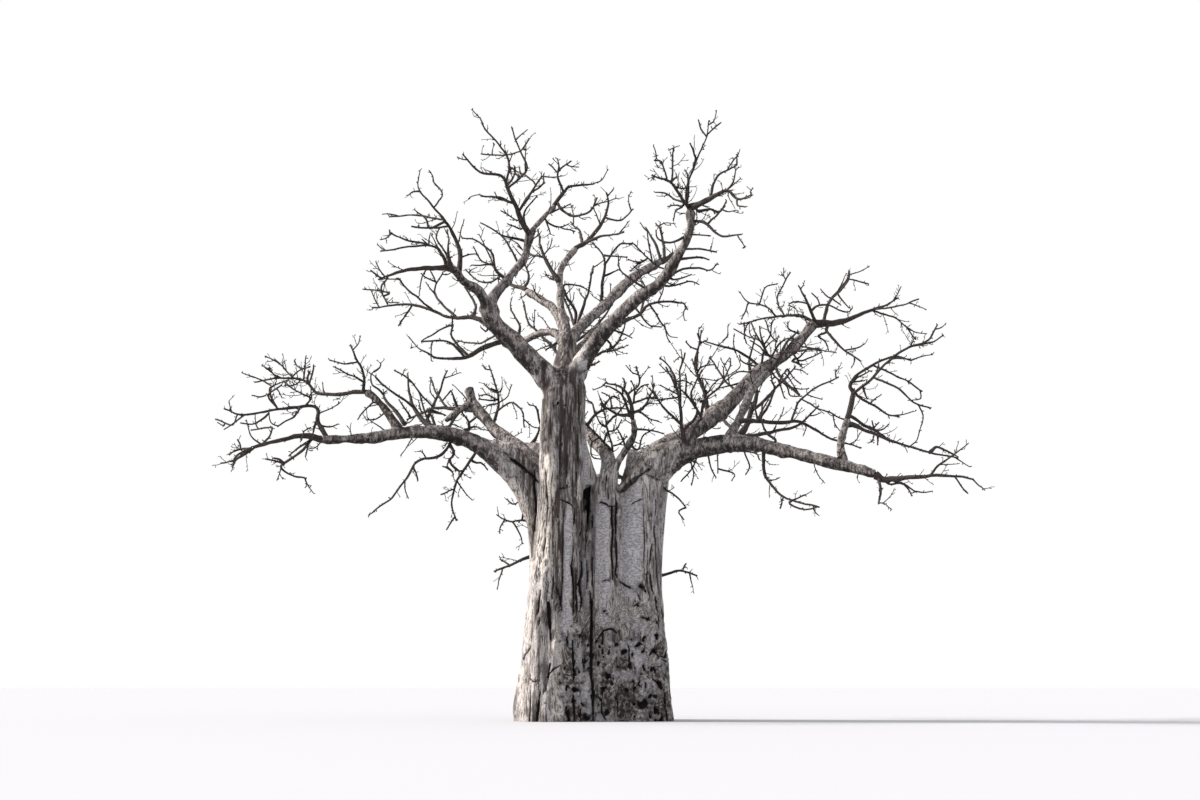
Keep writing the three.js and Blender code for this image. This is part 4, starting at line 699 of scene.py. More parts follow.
def growMass(spec, parent):
    # Stem and forks of a mass: a fork leaves the limb it names at a share of its way.
    root = rootOn(parent, spec)
    deep = np.array([0, 0, seen(root)[2]])
    stem = np.concatenate([root[None], place(np.reshape(spec["stem"], (-1, 3)) + deep)])
    found = [limbOf(stem, (spec["girth"], limbRule["tipGirth"]))]
    for source, share, *bends in spec["forks"]:
        of = found[source]
        girth = max(radiusOf(of, share) * 2 * limbRule["forkGirth"], limbRule["tipGirth"])
        points = np.concatenate([curveAt(of["points"], [share]), place(np.reshape(bends, (-1, 3)) + deep)])
        found.append(limbOf(points, (girth, limbRule["tipGirth"])))
    return found


def spansOf(limb, owner, number, steps):
    # Short straight spans along a limb for the clearance test: start, end, radius, owner and number.
    shares = np.linspace(0, 1, steps + 1)
    line = curveAt(limb["points"], shares)
    wide = stemRadius(limb["girths"], shares[:-1]) if "girths" in limb else radiusOf(limb, shares[:-1])
    tags = np.tile([owner, number], (steps, 1))
    return np.concatenate([line[:-1], line[1:], wide[:, None], tags], 1)


def roomBeside(probe, spans):
    # Distance from a probe to the nearest point on the axis of each span.
    start, step = spans[:, :3], spans[:, 3:6] - spans[:, :3]
    part = np.clip(((probe - start) * step).sum(-1) / (step * step).sum(-1), 0, 1)
    return np.linalg.norm(start + part[..., None] * step - probe, axis=-1)


def isClear(points, girth, spans, owner, number):
    # Whether three probes on each stretch of a twig stay clear of every span but those of its own source.
    others = spans[(spans[:, 7] != owner) | (spans[:, 8] != number)]
    for a, b in zip(points[:-1], points[1:]):
        for share in twigRule["probes"]:
            if (roomBeside(a + (b - a) * share, others) < others[:, 6] + girth / 2 + twigRule["clear"]).any():
                return False
    return True


def firstTwigs(limb, draw):
    # Twigs along one limb: each leaves at an angle, rolled round from the last, and bends once.
    rule = twigRule
    count = int(limb["length"] / rule["spacing"])
    roll = draw() * 2 * np.pi
    for i in range(count):
        share = (i + 1 - rule["placeDrift"] * draw()) / count
        roll += rule["roll"] + rule["rollDrift"] * (draw() - 0.5)
        heading = headingAt(limb["points"], share)
        side = unit(np.cross(rule["across"], heading))
        out = side * math.cos(roll) + np.cross(heading, side) * math.sin(roll)
        length = rule["length"] * (rule["shortest"] + rule["longer"] * draw()) * (1 - rule["fade"] * share)
        toward = heading * math.cos(rule["lean"]) + out * math.sin(rule["lean"])
        bend = np.array([draw() - 0.5, draw() - 0.5, draw() - 0.5])
        root = curveAt(limb["points"], [share])[0]
        elbow = root + toward * length * rule["elbow"]
        toward = unit(toward + bend * rule["crook"] + np.array([0, 0, rule["lift"]]))
        yield np.array([root, elbow, elbow + toward * length * (1 - rule["elbow"])])


def growTree():
    # The boughs, the limbs of each mass with its first twigs last, and the spans of trunk and all.
    grown, steps, spans = growBoughs(), limbRule["spans"], []
    for bends in map(np.array, stems.values()):
        stem = {"points": place(bends[:, :3]), "girths": bends[:, 3]}
        spans.append(spansOf(stem, 0, bearerMark, steps["stem"] * (len(bends) - 1)))
    for owner, limb in enumerate(grown.values(), 1):
        spans.append(spansOf(limb, owner, bearerMark, steps["bough"] * (len(limb["points"]) - 1)))
    parts = [growMass(spec, grown.get(spec["on"])) for spec in masses]
    for owner, found in enumerate(parts, 1 + len(grown)):
        for number, limb in enumerate(found):
            spans.append(spansOf(limb, owner, number, steps["mass"] * (len(limb["points"]) - 1)))
    spans = np.concatenate(spans)
    for index, found in enumerate(parts):
        draw, owner = seeded(index + 1), index + 1 + len(grown)
        for number, limb in enumerate(list(found)):
            for points in firstTwigs(limb, draw):
                if not isClear(points, twigRule["girth"], spans, owner, number):
                    continue
                twig = limbOf(points, (twigRule["girth"], twigRule["girth"] * twigRule["tip"]))
                found.append(twig)
                spans = np.concatenate([spans, spansOf(twig, owner, twigMark, steps["twig"])])
    return grown, parts, spans


limbs, massLimbs, spans = growTree()
print("grown:", len(limbs), "boughs,", sum(map(len, massLimbs)), "limbs in", len(masses), "masses")


# Materials.

def linear(hexColour):
    # An sRGB hex colour as the linear numbers that a shader takes.
    parts = np.array([int(hexColour[k:k + 2], 16) / 255 for k in (1, 3, 5)])
    low = parts <= 0.04045
    return (*np.where(low, parts / 12.92, ((parts + 0.055) / 1.055) ** 2.4).tolist(), 1.0)


def addNode(tree, kind, inputs=None, **settings):
    # Adds a shader node, sets what it is and links or fills its sockets.
    made = tree.nodes.new("ShaderNode" + kind)
    for name, value in settings.items():
        setattr(made, name, value)
    for socket, value in (inputs or {}).items():
        if isinstance(value, bpy.types.NodeSocket):
            tree.links.new(value, made.inputs[socket])
        else:
            made.inputs[socket].default_value = value
    return made


def startMaterial(name, roughness, specular):
    # A material with its node tree, its shader and the place on the object that patterns are read at.
    made = bpy.data.materials.new(name)
    made.use_nodes = True
    tree = made.node_tree
    shader = tree.nodes["Principled BSDF"]
    shader.inputs["Roughness"].default_value = roughness
    shader.inputs["Specular IOR Level"].default_value = specular
    return made, tree, shader, addNode(tree, "TexCoord").outputs["Object"]


# Bark of an old baobab: thin, grey and matt over soft fibre, weathered by rain, with painted sunlight on its
# sunny sides and painted shade in its cracks and creases.
barkLook = {
    "roughness": 0.88, "specular": 0.2, "detail": 4.0, "fineness": 0.62,
    # sizes in metres; wrinkles are some 40 mm apart and drawn 60 mm apart, the finest that shows
    "wrinkle": 0.06, "grit": 0.05, "streak": 0.11, "blotch": 0.5, "ripple": 0.1, "bump": 0.03, "fray": 0.7,
    # upright scale of the patterns: below 1 the grain is drawn out upwards, above 1 the ripples lie flat
    "grain": {"trunk": 0.13, "bough": 0.4}, "flat": 2.2,
    # colour on the trunk, and on the younger boughs; the dark one serves both for stains and for painted
    # shade
    "mid": ("#8d8889", "#605a5b"), "pale": ("#bdb8b6", "#98928f"), "stainAndShade": ("#332b29", "#231e1d"),
    # the pale cream below is painted sunlight, and the near black painted shade in cracks, creases, pits and
    # hollows
    "plate": "#b0aeb1", "dimple": "#88858a", "paintedSunlit": "#cdc5be", "crackShade": "#0d0b0b",
}


def barkMaterial(kind):
    # Wrinkles and streaks run upright; the tone attribute paints the black of painted shade into cracks
    # (red), smooth plates (green) and brown stains mixed with painted shade (blue); the other attribute turns
    # the trunk's greys to the boughs' (red) and to the cream of painted sunlight (green), and its upright
    # grain to a gnarled one (blue).
    look = barkLook
    made, tree, shader, spot = startMaterial(f"baobab_{kind}_bark", look["roughness"], look["specular"])
    tone = addNode(tree, "Attribute", attribute_name="tone").outputs["Color"]
    crackShades, plates, stainsAndShade = addNode(tree, "SeparateColor", {0: tone}).outputs
    ageAndSun = addNode(tree, "Attribute", attribute_name="ageAndSun").outputs["Color"]
    youth, paintedSun, gnarled = addNode(tree, "SeparateColor", {0: ageAndSun}).outputs
    upright, level = (
        addNode(tree, "Mapping", {"Vector": spot, "Scale": (1, 1, tall)}).outputs[0]
        for tall in (look["grain"][kind], look["flat"])
    )
    upright = addNode(tree, "Mix", {0: gnarled, 4: upright, 5: spot}, data_type="VECTOR").outputs[1]
    grain = {"streak": upright, "wrinkle": upright, "grit": spot, "blotch": spot, "ripple": level}
    fine = {"Detail": look["detail"], "Roughness": look["fineness"]}
    for title, vector in grain.items():
        fine |= {"Vector": vector, "Scale": 1 / look[title]}
        grain[title] = addNode(tree, "TexNoise", fine).outputs[0]
    mid, pale, stainAndShade = (
        addNode(tree, "Mix", {0: youth, 6: linear(look[title][0]), 7: linear(look[title][1])},
                data_type="RGBA").outputs[2]
        for title in ("mid", "pale", "stainAndShade")
    )
    # fine grit frays the edges of cracks and plates
    fray = addNode(tree, "Math", {0: grain["grit"], 1: look["fray"], 2: -look["fray"] / 2},
                   operation="MULTIPLY_ADD").outputs[0]
    crackShades, plates = (addNode(tree, "Math", {0: part, 1: fray}, operation="ADD").outputs[0]
                      for part in (crackShades, plates))
    base = mid
    # each layer: what drives it, the values where it starts and is full, how strong it gets, its colour
    for value, start, full, most, colour in (
        (grain["streak"], 0.4, 0.6, 1.0, pale),
        (grain["blotch"], 0.5, 0.3, 0.5, stainAndShade),
        # painted sunlight: pale cream on the sunny sides and on the sunlit patches
        (paintedSun, 0.0, 1.0, 1.0, linear(look["paintedSunlit"])),
        # painted shade: the wrinkles' grooves, where the bump is low, are darkened
        (grain["wrinkle"], 0.5, 0.38, 0.85, stainAndShade),
        (plates, 0.25, 0.75, 1.0, linear(look["plate"])),
        (grain["ripple"], 0.6, 0.4, plates, linear(look["dimple"])),
        (grain["grit"], 0.48, 0.34, 0.6, stainAndShade),
        # stains mixed with painted shade, darker along the streaks
        (stainsAndShade, 0.0, 1.0, 0.55, stainAndShade),
        (grain["streak"], 0.6, 0.46, stainsAndShade, stainAndShade),
        # the black of painted shade in cracks, creases, pits and hollows
        (crackShades, 0.22, 0.72, 1.0, linear(look["crackShade"])),
    ):
        amount = addNode(tree, "MapRange", {0: value, 1: start, 2: full, 4: most},
                         interpolation_type="SMOOTHSTEP").outputs[0]
        base = addNode(tree, "Mix", {0: amount, 6: base, 7: colour}, data_type="RGBA").outputs[2]
    tree.links.new(base, shader.inputs["Base Color"])
    height = addNode(tree, "Math", {0: grain["wrinkle"], 1: grain["grit"]}, operation="ADD").outputs[0]
    bump = addNode(tree, "Bump", {"Height": height, "Distance": look["bump"]})
    tree.links.new(bump.outputs[0], shader.inputs["Normal"])
    return made


# Shoots: the limbs of the masses in very dark greys that wear paler, and the finer twigs nearly black.
twigLooks = {
    "roughness": 0.9, "specular": 0.2, "detail": 2.0, "worn": (0.42, 0.72), "strength": 0.7,
    "limb": {"grain": 0.03, "bump": 0.008, "shades": ("#231e1d", "#2d2827", "#1b1716"), "worn": "#534c49"},
    "shoot": {"grain": 0.02, "bump": 0.003, "shades": ("#171312", "#1f1b1a", "#110e0d"), "worn": "#2d2826"},
}


def twigMaterials(kind):
    # Bark of leafless shoots: matt and worn in specks, in three plain shades dealt out by spray.
    rule, look, found = twigLooks, twigLooks[kind], []
    for number, shade in enumerate(look["shades"]):
        name = f"baobab_{kind}_bark_{number}"
        made, tree, shader, spot = startMaterial(name, rule["roughness"], rule["specular"])
        fine = {"Vector": spot, "Scale": 1 / look["grain"], "Detail": rule["detail"]}
        grit = addNode(tree, "TexNoise", fine).outputs[0]
        worn = addNode(tree, "MapRange", {0: grit, 1: rule["worn"][0], 2: rule["worn"][1]}).outputs[0]
        base = addNode(tree, "Mix", {0: worn, 6: linear(shade), 7: linear(look["worn"])},
                       data_type="RGBA").outputs[2]
        tree.links.new(base, shader.inputs["Base Color"])
        bump = addNode(tree, "Bump", {"Height": grit, "Distance": look["bump"], "Strength": rule["strength"]})
        tree.links.new(bump.outputs[0], shader.inputs["Normal"])
        found.append(made)
    return found


# The noises that shape and paint the bark: size across and up in metres, and seed.
barkNoises = {
    # on the whole trunk, and then on its gnarled base
    "flute": (0.42, 3.2, 3), "rope": (0.14, 0.8, 5), "wrinkle": (0.06, 0.35, 11), "patches": (0.5, 2.6, 60),
    "warp": (1.3, 1.3, 40), "gnarl": (0.13, 0.195, 90), "knurl": (0.32, 0.448, 98), "mottle": (0.4, 0.4, 97),
    # on the marks of its front
    "ragged": (0.13, 0.13, 70), "streak": (0.09, 1.1, 72), "gap": (0.25, 0.5, 74), "sway": (0.8, 0.8, 94),
    "waver": (0.35, 0.35, 95), "bend": (0.15, 0.15, 92),
    # on the boughs
    "lump": (0.45, 0.45, 120), "fibre": (0.09, 0.09, 130), "knot": (0.55, 0.55, 140),
    "crease": (0.3, 0.3, 150),
}


def barkNoise(title, spots, shape=noise, *more):
    # One of the noises above, or the fractal, ridged, strewn or shifting kind of it.
    across, up, seed = barkNoises[title]
    return shape(spots / np.array([across, across, up]), seed, *more)


def facing(normals):
    # How much a face looks forward, to the eye.
    return ramp(-normals[:, 1], -0.15, 0.25)


# The trunk: four closed skins whose meeting lines are its deep folds.

trunkSettings = {
    "fluteCount": 5, "fluteDepth": 0.05, "rings": 90, "sides": 72, "belowGround": 0.12, "relaxing": 6,
    "stubLength": 1.7, "stubWide": 1.2, "stubNarrow": 0.8, "stubRings": 24, "stubSides": 32,
    "foldRings": 40, "foldSides": 24,
    "beside": (1.25, 1.9), "youth": (0.3, 1.5),  # how far from a bough's axis, in radii, and how far along it
    # skin: grain in metres, its stems and the boughs that leave it
    "groups": {
        "trunkColumn": (0.031, ("column", "foot"), ("upper_left_bough", "central_stem", "right_crown_bough")),
        "trunkShoulder": (0.036, ("shoulder", "backLeft"), ("left_bough", "broken_bough", "back_left_bough")),
        "trunkRightStems": (0.031, ("narrow", "right", "outer"),
                            ("notch_limb", "notch_bough", "right_bough", "high_right_bough")),
        "trunkBack": (0.042, ("core", "backRight"), ("back_right_bough",)),
    },
}

# Folds that stand out from the stems: (across, up, away, girth) at each bend, in metres.
trunkFolds = {
    "trunkColumn": [
        [(-0.45, 9.4, -0.85, 0.3), (-0.37, 8.4, -0.85, 0.38), (-0.22, 7.7, -0.8, 0.46),
         (-0.1, 7.1, -0.68, 0.5), (-0.14, 6.3, -0.5, 0.5)],
    ],
    "trunkRightStems": [
        [(1.02, 6.7, -0.5, 0.6), (1.12, 7.25, -0.4, 0.62), (1.42, 7.75, -0.25, 0.6), (1.95, 8.12, 0, 0.55),
         (2.6, 8.42, 0.5, 0.5)],
        [(1.12, 7.0, -0.3, 0.5), (1.2, 7.6, -0.25, 0.5), (1.24, 8.0, -0.2, 0.42)],
    ],
    "trunkShoulder": [
        [(-1.35, 6.3, -0.35, 0.5), (-1.72, 7.25, -0.4, 0.52), (-2.35, 7.95, -0.35, 0.45),
         (-3.0, 8.35, -0.35, 0.3)],
    ],
}

# What shows on the front of the trunk, at (across, up) in centimetres as seen.
frontBark = {
    # cuts: width, depth and darkness (painted shade in the cut and round it), and then across and up of each
    # bend; a depth below nothing is raised
    "cuts": [
      (9, 24, 1, -10, 696, -14, 660, -20, 615, -26, 570, -32, 516, -34, 480),
      (4.5, 10, 0.9, -34, 495, -28, 450, -34, 405, -28, 360, -32, 294),
      (6, 10, 0.9, -10, 384, -4, 345, -2, 306, -6, 255, -4, 180, 2, 90, 2, -12),
      (4.8, 9, 0.85, -62, 465, -58, 420, -52, 360, -56, 315), (4.5, 7, 0.8, -46, 435, -44, 375, -40, 315),
      (4.2, 6, 0.7, -20, 480, -16, 435, -20, 390),
      (3.9, 5, 0.7, -122, 660, -122, 540, -122, 420, -124, 360),
      (3.6, 5, 0.65, -90, 636, -92, 540, -94, 420, -98, 330, -104, 255),
      (4.2, 6, 0.8, -57, 630, -58, 540, -64, 435), (3.9, 4, 0.6, -98, 885, -100, 795, -100, 690),
      (3.6, 4, 0.55, -80, 840, -80, 720, -76, 651), (3.6, 4, 0.5, -62, 885, -62, 780, -62, 660),
      (4.2, 4, 0.6, -46, 1005, -46, 900, -50, 780, -50, 660), (3, 3, 0.8, -118, 944, -100, 945, -82, 944),
      (3, 3, 0.7, -104, 690, -86, 693, -70, 696), (3.3, 4, 0.9, -104, 660, -88, 654, -70, 645, -58, 633),
      (3.9, 7, 0.9, -158, 390, -162, 351, -162, 312, -154, 276, -153, 210, -158, 144, -160, 90, -166, 42),
      (6.6, 12, 1, -135, 351, -132, 318, -128, 273),
      (3.6, 7, 0.95, -128, 282, -124, 225, -126, 174, -134, 120),
      (12.6, 9, 0, -142, 330, -142, 225, -142, 90), (3.3, 5, 0.7, -116, 402, -104, 372, -98, 336, -94, 315),
      (3, 4, 0.6, -136, 405, -140, 360, -136, 330),
      (3.6, 5, 0.7, -188, 222, -198, 204, -206, 183, -206, 165), (5.4, 9, 1, -164, 60, -166, 24, -166, -12),
      (4.8, 7, 0.9, -194, 90, -194, 42, -188, -12), (4.8, 8, 1, -76, 90, -76, 30, -76, -15),
      (4.8, 8, 1, -58, 240, -58, 165, -57, 75, -58, -15),
      (3.6, 4, 0.8, -2, 650, 20, 652, 40, 648, 52, 640, 68, 642), (3.9, 5, 0.75, 38, 795, 38, 735, 34, 684),
      (3.3, 5, 0.8, 46, 726, 48, 660), (3.6, 6, 0.85, -3, 624, -2, 540, -2, 435, 2, 360),
      (4.5, 7, 0.95, 62, 639, 62, 570, 58, 495, 62, 420),
      (4.2, 8, 0.9, 76, 684, 74, 630, 74, 555, 75, 480, 70, 435), (3, 3, 0.7, 26, 411, 38, 417, 50, 416),
      (3.3, 3, 0.75, 104, 639, 124, 652, 148, 663), (3, 3, 0.6, 158, 738, 178, 729, 196, 714),
      (3, 3, 0.6, 188, 726, 206, 705, 212, 684), (2.7, 3, 0.65, 154, 645, 152, 420),
      (3.9, 5, 0.7, 176, 525, 171, 465, 176, 405, 188, 351, 200, 294),
      (3.6, 4, 0.65, 164, 480, 160, 420, 170, 366, 182, 324),
      (3.3, 4, 0.6, 190, 480, 194, 420, 202, 360, 212, 294), (3.3, 4, 0.65, 188, 660, 184, 570, 188, 480),
      (3.6, 4, 0.85, 70, 444, 76, 420, 94, 402, 116, 390, 134, 375, 142, 357),
      (3.9, 5, 0.8, 142, 306, 164, 303, 182, 321, 190, 348, 188, 369),
      (4.2, 7, 0.9, 160, 297, 178, 303, 194, 291, 196, 270, 184, 252),
      (4.2, 6, 0.9, 190, 249, 202, 231, 194, 207, 200, 186, 220, 177),
      (3.3, 5, 0.7, 122, 339, 130, 345, 140, 351), (4.2, 6, 0.8, 202, 174, 212, 90, 224, -15),
      (6, 10, 0.7, -310, 819, -266, 795, -212, 756, -162, 711),
      (5.4, 8, 0.7, -250, 849, -220, 819, -184, 795, -160, 774),
      (5.1, 8, 0.8, -178, 750, -176, 690, -172, 630, -176, 561, -180, 489),
      (6.6, 8, 0.6, 82, 687, 104, 708, 136, 732, 176, 762), (4.5, 7, 0.75, 10, 708, -2, 681, -10, 645),
      (4.2, 5, 0.5, -158, 660, -156, 600, -164, 525),
      (3.6, 5, 0.7, -142, 750, -136, 660, -142, 570, -148, 480),
      (3.9, 6, 0.9, 8, 240, 28, 264, 56, 273, 76, 261),
      (4.2, 7, 0.9, 124, 216, 140, 231, 154, 222, 158, 195),
      (4.2, 7, 0.9, 170, 195, 184, 210, 202, 192, 220, 189), (3.9, 6, 0.85, 2, 90, 20, 60, 22, 24, 38, 0),
      (3.9, 6, 0.85, 68, 90, 80, 54, 76, 12), (3.6, 5, 0.8, 94, 240, 106, 210, 104, 174, 118, 144),
      (3.6, 5, 0.8, -206, 111, -196, 126, -182, 114, -158, 117, -134, 129, -116, 153, -98, 165),
      (12.6, -11, 0, -126, 990, -130, 870, -128, 741, -129, 609, -134, 501, -136, 420),
      (9.6, -5, 0, -152, 960, -150, 819, -152, 681, -160, 540, -168, 420),
      (9.6, -6, 0, -172, 561, -180, 441, -186, 321, -194, 231),
      (10.8, -10, 0, 86, 699, 120, 735, 165, 789, 210, 816, 260, 834),
      (7.2, -6, 0, 20, 225, 40, 252, 62, 258), (7.8, -7, 0, 134, 195, 146, 210, 148, 174),
      (7.2, -7, 0, 164, 276, 182, 285, 184, 258),
      (7.8, -8, 0, 212, 360, 220, 294, 224, 225, 230, 150, 238, 60),
      (3.6, -4, 0, 190, 732, 177, 660, 168, 570, 164, 480, 160, 390),
      (9, -9, 0, -116, 384, -112, 330, -110, 264),
      (12, -12, 0, -112, 234, -116, 186, -124, 135, -134, 84, -142, 30, -146, -12),
      (9, -7, 0, -146, 480, -148, 405, -146, 348), (12, -8, 0, -218, 132, -226, 75, -232, 15),
    ],
    # smooth pale plates: across, up and half width of each bend
    "plates": [
      (-74, 639, 10, -74, 570, 14, -76, 480, 15, -82, 390, 15, -82, 300, 16, -92, 240, 15),
      (26, 642, 27, 26, 540, 26, 26, 450, 24, 28, 360, 21, 34, 294, 15),
      (118, 675, 36, 116, 570, 38, 112, 450, 36, 112, 384, 27), (-200, 195, 8, -202, 177, 6),
      (-28, 885, 6, -28, 795, 12, -22, 720, 12), (-26, 525, 6, -20, 420, 10, -16, 345, 6),
      (-10, 210, 9, -16, 90, 12, -10, 15, 12), (188, 279, 12, 184, 264, 9),
      (184, 690, 9, 180, 600, 10, 176, 519, 10), (206, 660, 8, 204, 561, 9, 210, 420, 8),
      (140, 285, 18, 128, 252, 15), (56, 276, 15, 68, 240, 9), (86, 195, 9, 76, 120, 9),
    ],
    # stains mixed with painted shade, as dark washes: how dark, and then across, up and half width of each
    # bend
    "stainsAndShade": [
      (1, -75, 1041, 42, -74, 900, 40, -76, 780, 36, -80, 660, 28),
      (0.95, -106, 675, 14, -106, 570, 14, -106, 450, 14, -106, 330, 12),
      (0.9, -44, 645, 12, -44, 540, 12, -46, 450, 15, -50, 360, 18, -46, 300, 18),
      (0.8, -22, 660, 15, -22, 570, 12),
      (0.75, -224, 795, 18, -194, 750, 27, -184, 660, 21, -178, 570, 14, -178, 480, 9),
      (0.3, 38, 750, 21, 38, 675, 18), (1, -158, 1080, 18, -148, 990, 24, -140, 915, 24, -136, 810, 15),
      (0.75, 98, 726, 24, 106, 660, 21, 100, 582, 12), (0.6, 212, 834, 24, 212, 744, 21),
      (0.5, -224, 96, 9, -230, -6, 12), (0.5, -196, 165, 8, -200, -6, 9),
      (0.8, 66, 660, 9, 64, 570, 9, 68, 480, 9, 70, 405, 6),
      (0.5, 188, 660, 18, 184, 540, 18, 190, 405, 18), (0.45, 28, 240, 60, 44, 120, 90, 44, 0, 102),
      (0.65, -64, 240, 21, -64, 120, 24, -62, 0, 27), (0.4, 170, 315, 36, 184, 180, 45, 184, 0, 54),
      (0.55, -142, 315, 12, -142, 210, 14, -142, 90, 14), (0.65, 184, 75, 45, 184, -6, 51),
      (0.75, -170, 114, 12, -172, 45, 15, -158, -6, 18), (0.5, -170, 360, 8, -176, 240, 9, -178, 120, 9),
      (0.5, 94, 726, 24, 140, 774, 24),
    ],
    # painted sunlight, as pale cream: how strong, and then across, up and half width of each bend
    "paintedSunlit": [
      (1, -134, 852, 6, -130, 792, 12, -134, 708, 24, -134, 600, 30, -142, 480, 30),
      (0.35, -152, 480, 27, -160, 360, 33, -178, 240, 30, -196, 120, 33, -202, 6, 33),
      (0.6, -244, 714, 12, -220, 660, 15, -200, 600, 15, -188, 525, 14, -188, 435, 12),
      (0.5, -94, 1104, 18, -76, 1044, 21),
      (0.8, -98, 282, 10, -112, 225, 12, -94, 168, 12, -112, 108, 14, -104, 24, 15),
      (0.9, 86, 699, 8, 120, 738, 9, 165, 792, 12, 206, 816, 15, 248, 831, 12),
      (0.4, -10, 825, 12, -2, 765, 12),
    ],
    # hollows, cut in and darkened as painted shade: across, up, half width, half height
    "hollows": [
      (-104, 954, 6, 6), (-80, 699, 5, 5), (-230, 117, 5, 8), (144, 398, 12, 8), (158, 384, 6, 6),
      (135, 344, 7, 5), (123, 357, 4, 4), (34, 327, 5, 4), (46, 318, 4, 3), (2, 238, 10, 5),
      (-32, 255, 4, 5), (-15, 222, 5, 5), (52, 201, 5, 13), (94, 201, 5, 10), (136, 220, 11, 5),
      (118, 198, 4, 8), (188, 204, 11, 8), (190, 255, 7, 8), (186, 291, 7, 5), (-50, 93, 9, 7),
      (-32, 114, 5, 6), (-70, 96, 5, 7), (60, 110, 9, 13), (44, 123, 5, 6), (148, 135, 7, 8),
      (156, 108, 5, 8), (-20, 8, 12, 8), (152, 48, 20, 14), (2, 66, 4, 24), (68, 60, 7, 13),
      (-100, 234, 4, 5), (14, 168, 5, 6), (32, 186, 4, 5), (80, 156, 4, 7), (106, 156, 5, 7),
      (28, 90, 4, 5), (-10, 156, 4, 7), (-22, 174, 4, 5), (170, 156, 4, 8), (202, 102, 5, 12),
      (184, 72, 4, 9), (122, 12, 9, 7), (40, 24, 7, 9), (-56, 60, 5, 9), (-34, 48, 4, 7), (-88, 156, 4, 7),
      (94, 90, 5, 7), (112, 240, 4, 4), (74, 225, 4, 5),
    ],
}

# How those marks are drawn: lengths in centimetres, the rest shares. A hollow is hollowDepth metres deep for
# each centimetre of its half width.
markRule = {
    "waver": 2.6, "sway": 5, "swayTop": 360, "swayFade": 150, "holeBend": 6,
    # how far from a line each kind can reach; of a cut, in widths
    "reach": {"plate": 60, "stainAndShade": 160, "paintedSunlit": 100, "cut": 5},
    # from which value to which each kind comes in
    "edge": {"gap": (0.0, 0.55), "plate": (-5, 10), "stainAndShade": (0.5, 1.35), "paintedSunlit": (0.6, 1.3),
             "cut": (0.2, 0.8), "hollow": (0.2, 0.85)},
    "plateRagged": 8, "ragged": 0.3, "cutRagged": 0.4, "hollowRagged": 0.6,
    "streaked": 0.3, "cleanPlate": 0.75, "gap": 0.85, "gapWidth": 6, "cutEnd": 0.45,
    # the darkening round cuts, and round and inside hollows, is painted shade
    "cutShade": 0.5, "cutShadeWidth": 2.2, "hollowDepth": 0.011, "hollowDark": 0.9, "hollowShade": 0.7,
}

relief = {
    # heights and depths in metres
    "flute": 0.07, "rope": 0.04, "wrinkle": 0.01, "pit": 0.09, "furrow": 0.06, "plate": 0.01, "warp": 0.22,
    # how high the marks on the front reach and the gnarled base does, each with the height it fades over
    "markTop": (9.6, 0.6), "baseTop": (3.7, 1.4), "baseRagged": 0.6,
    # how far right the base is smooth, and from which value to which each noise comes in; sunny brings in
    # painted sunlight, and creases, pits and furrows are darkened as painted shade
    "smoothLeft": (-1.35, -0.75), "crease": (0.6, 0.74), "bluntPlate": (0.15, 0.6), "backStain": (0.1, 0.8),
    "sunny": (0.2, 0.9), "pitEdge": (0.42, 0.72), "furrowEdge": (0.62, 0.73), "mottlePlate": (-0.1, 0.25),
    "mottleStain": (-0.2, 0.5), "knurlShade": (0.45, 0.65), "pitShade": (0.2, 0.85),
}


def stemSkin(name):
    # Fluted stem: radius (1 + depth cos(5 turn + phase + share)) round the smooth line of its bends.
    rule, bends = trunkSettings, np.array(stems[name], float)
    points = place(bends[:, :3])
    dense = np.linspace(0, 1, 400)
    low = np.interp(-rule["belowGround"], curveAt(points, dense)[:, 2], dense)
    shares = np.linspace(low, 1, rule["rings"])
    turn = np.arange(rule["sides"]) / rule["sides"] * 2 * np.pi
    phase = list(stems).index(name)
    flute = 1 + rule["fluteDepth"] * np.cos(rule["fluteCount"] * turn + phase + shares[:, None])
    radius = stemRadius(bends[:, 3], shares)[:, None] * flute
    return tubes(curveAt(points, shares)[None], radius[None], rule["sides"])


def stubSkin(name):
    # The foot of a bough as part of the trunk: it starts wider than the bough and sinks into it.
    rule, limb = trunkSettings, limbs[name]
    shares = np.linspace(0, min(1, rule["stubLength"] / limb["length"]), rule["stubRings"])
    part = shares / shares[-1]
    radius = radiusOf(limb, shares) * (rule["stubWide"] + (rule["stubNarrow"] - rule["stubWide"]) * part)
    return tubes(curveAt(limb["points"], shares)[None], radius[None], rule["stubSides"])


def foldSkin(bends):
    # A round fold along the smooth line of its bends, with the girth that each bend gives.
    bends, shares = np.array(bends), np.linspace(0, 1, trunkSettings["foldRings"])
    path = curveAt(place(bends[:, :3]), shares)
    return tubes(path[None], stemRadius(bends[:, 3], shares)[None], trunkSettings["foldSides"])


def besideLine(spots, line):
    # Nearest point of a bent line to each spot: its distance, its share along the line, and any numbers
    # that the line carries besides across and up.
    start, step = line[:-1], np.diff(line, axis=0)
    flat = step[:, :2]
    part = np.clip(((spots[:, None] - start[:, :2]) * flat).sum(-1) / (flat * flat).sum(-1), 0, 1)
    near = start + part[..., None] * step
    far = np.linalg.norm(spots[:, None] - near[..., :2], axis=-1)
    best = far.argmin(1)
    row = np.arange(len(spots))
    return far[row, best], (best + part[row, best]) / len(step), near[row, best, 2:]


def strokesOn(spots, line, reach, numbers=3):
    # Which spots lie within reach of the box round a line of bends, and besideLine for them.
    line = np.reshape(line, (-1, numbers)).astype(float)
    inside = ((spots > line[:, :2].min(0) - reach) & (spots < line[:, :2].max(0) + reach)).all(1).nonzero()[0]
    return inside, besideLine(spots[inside], line)


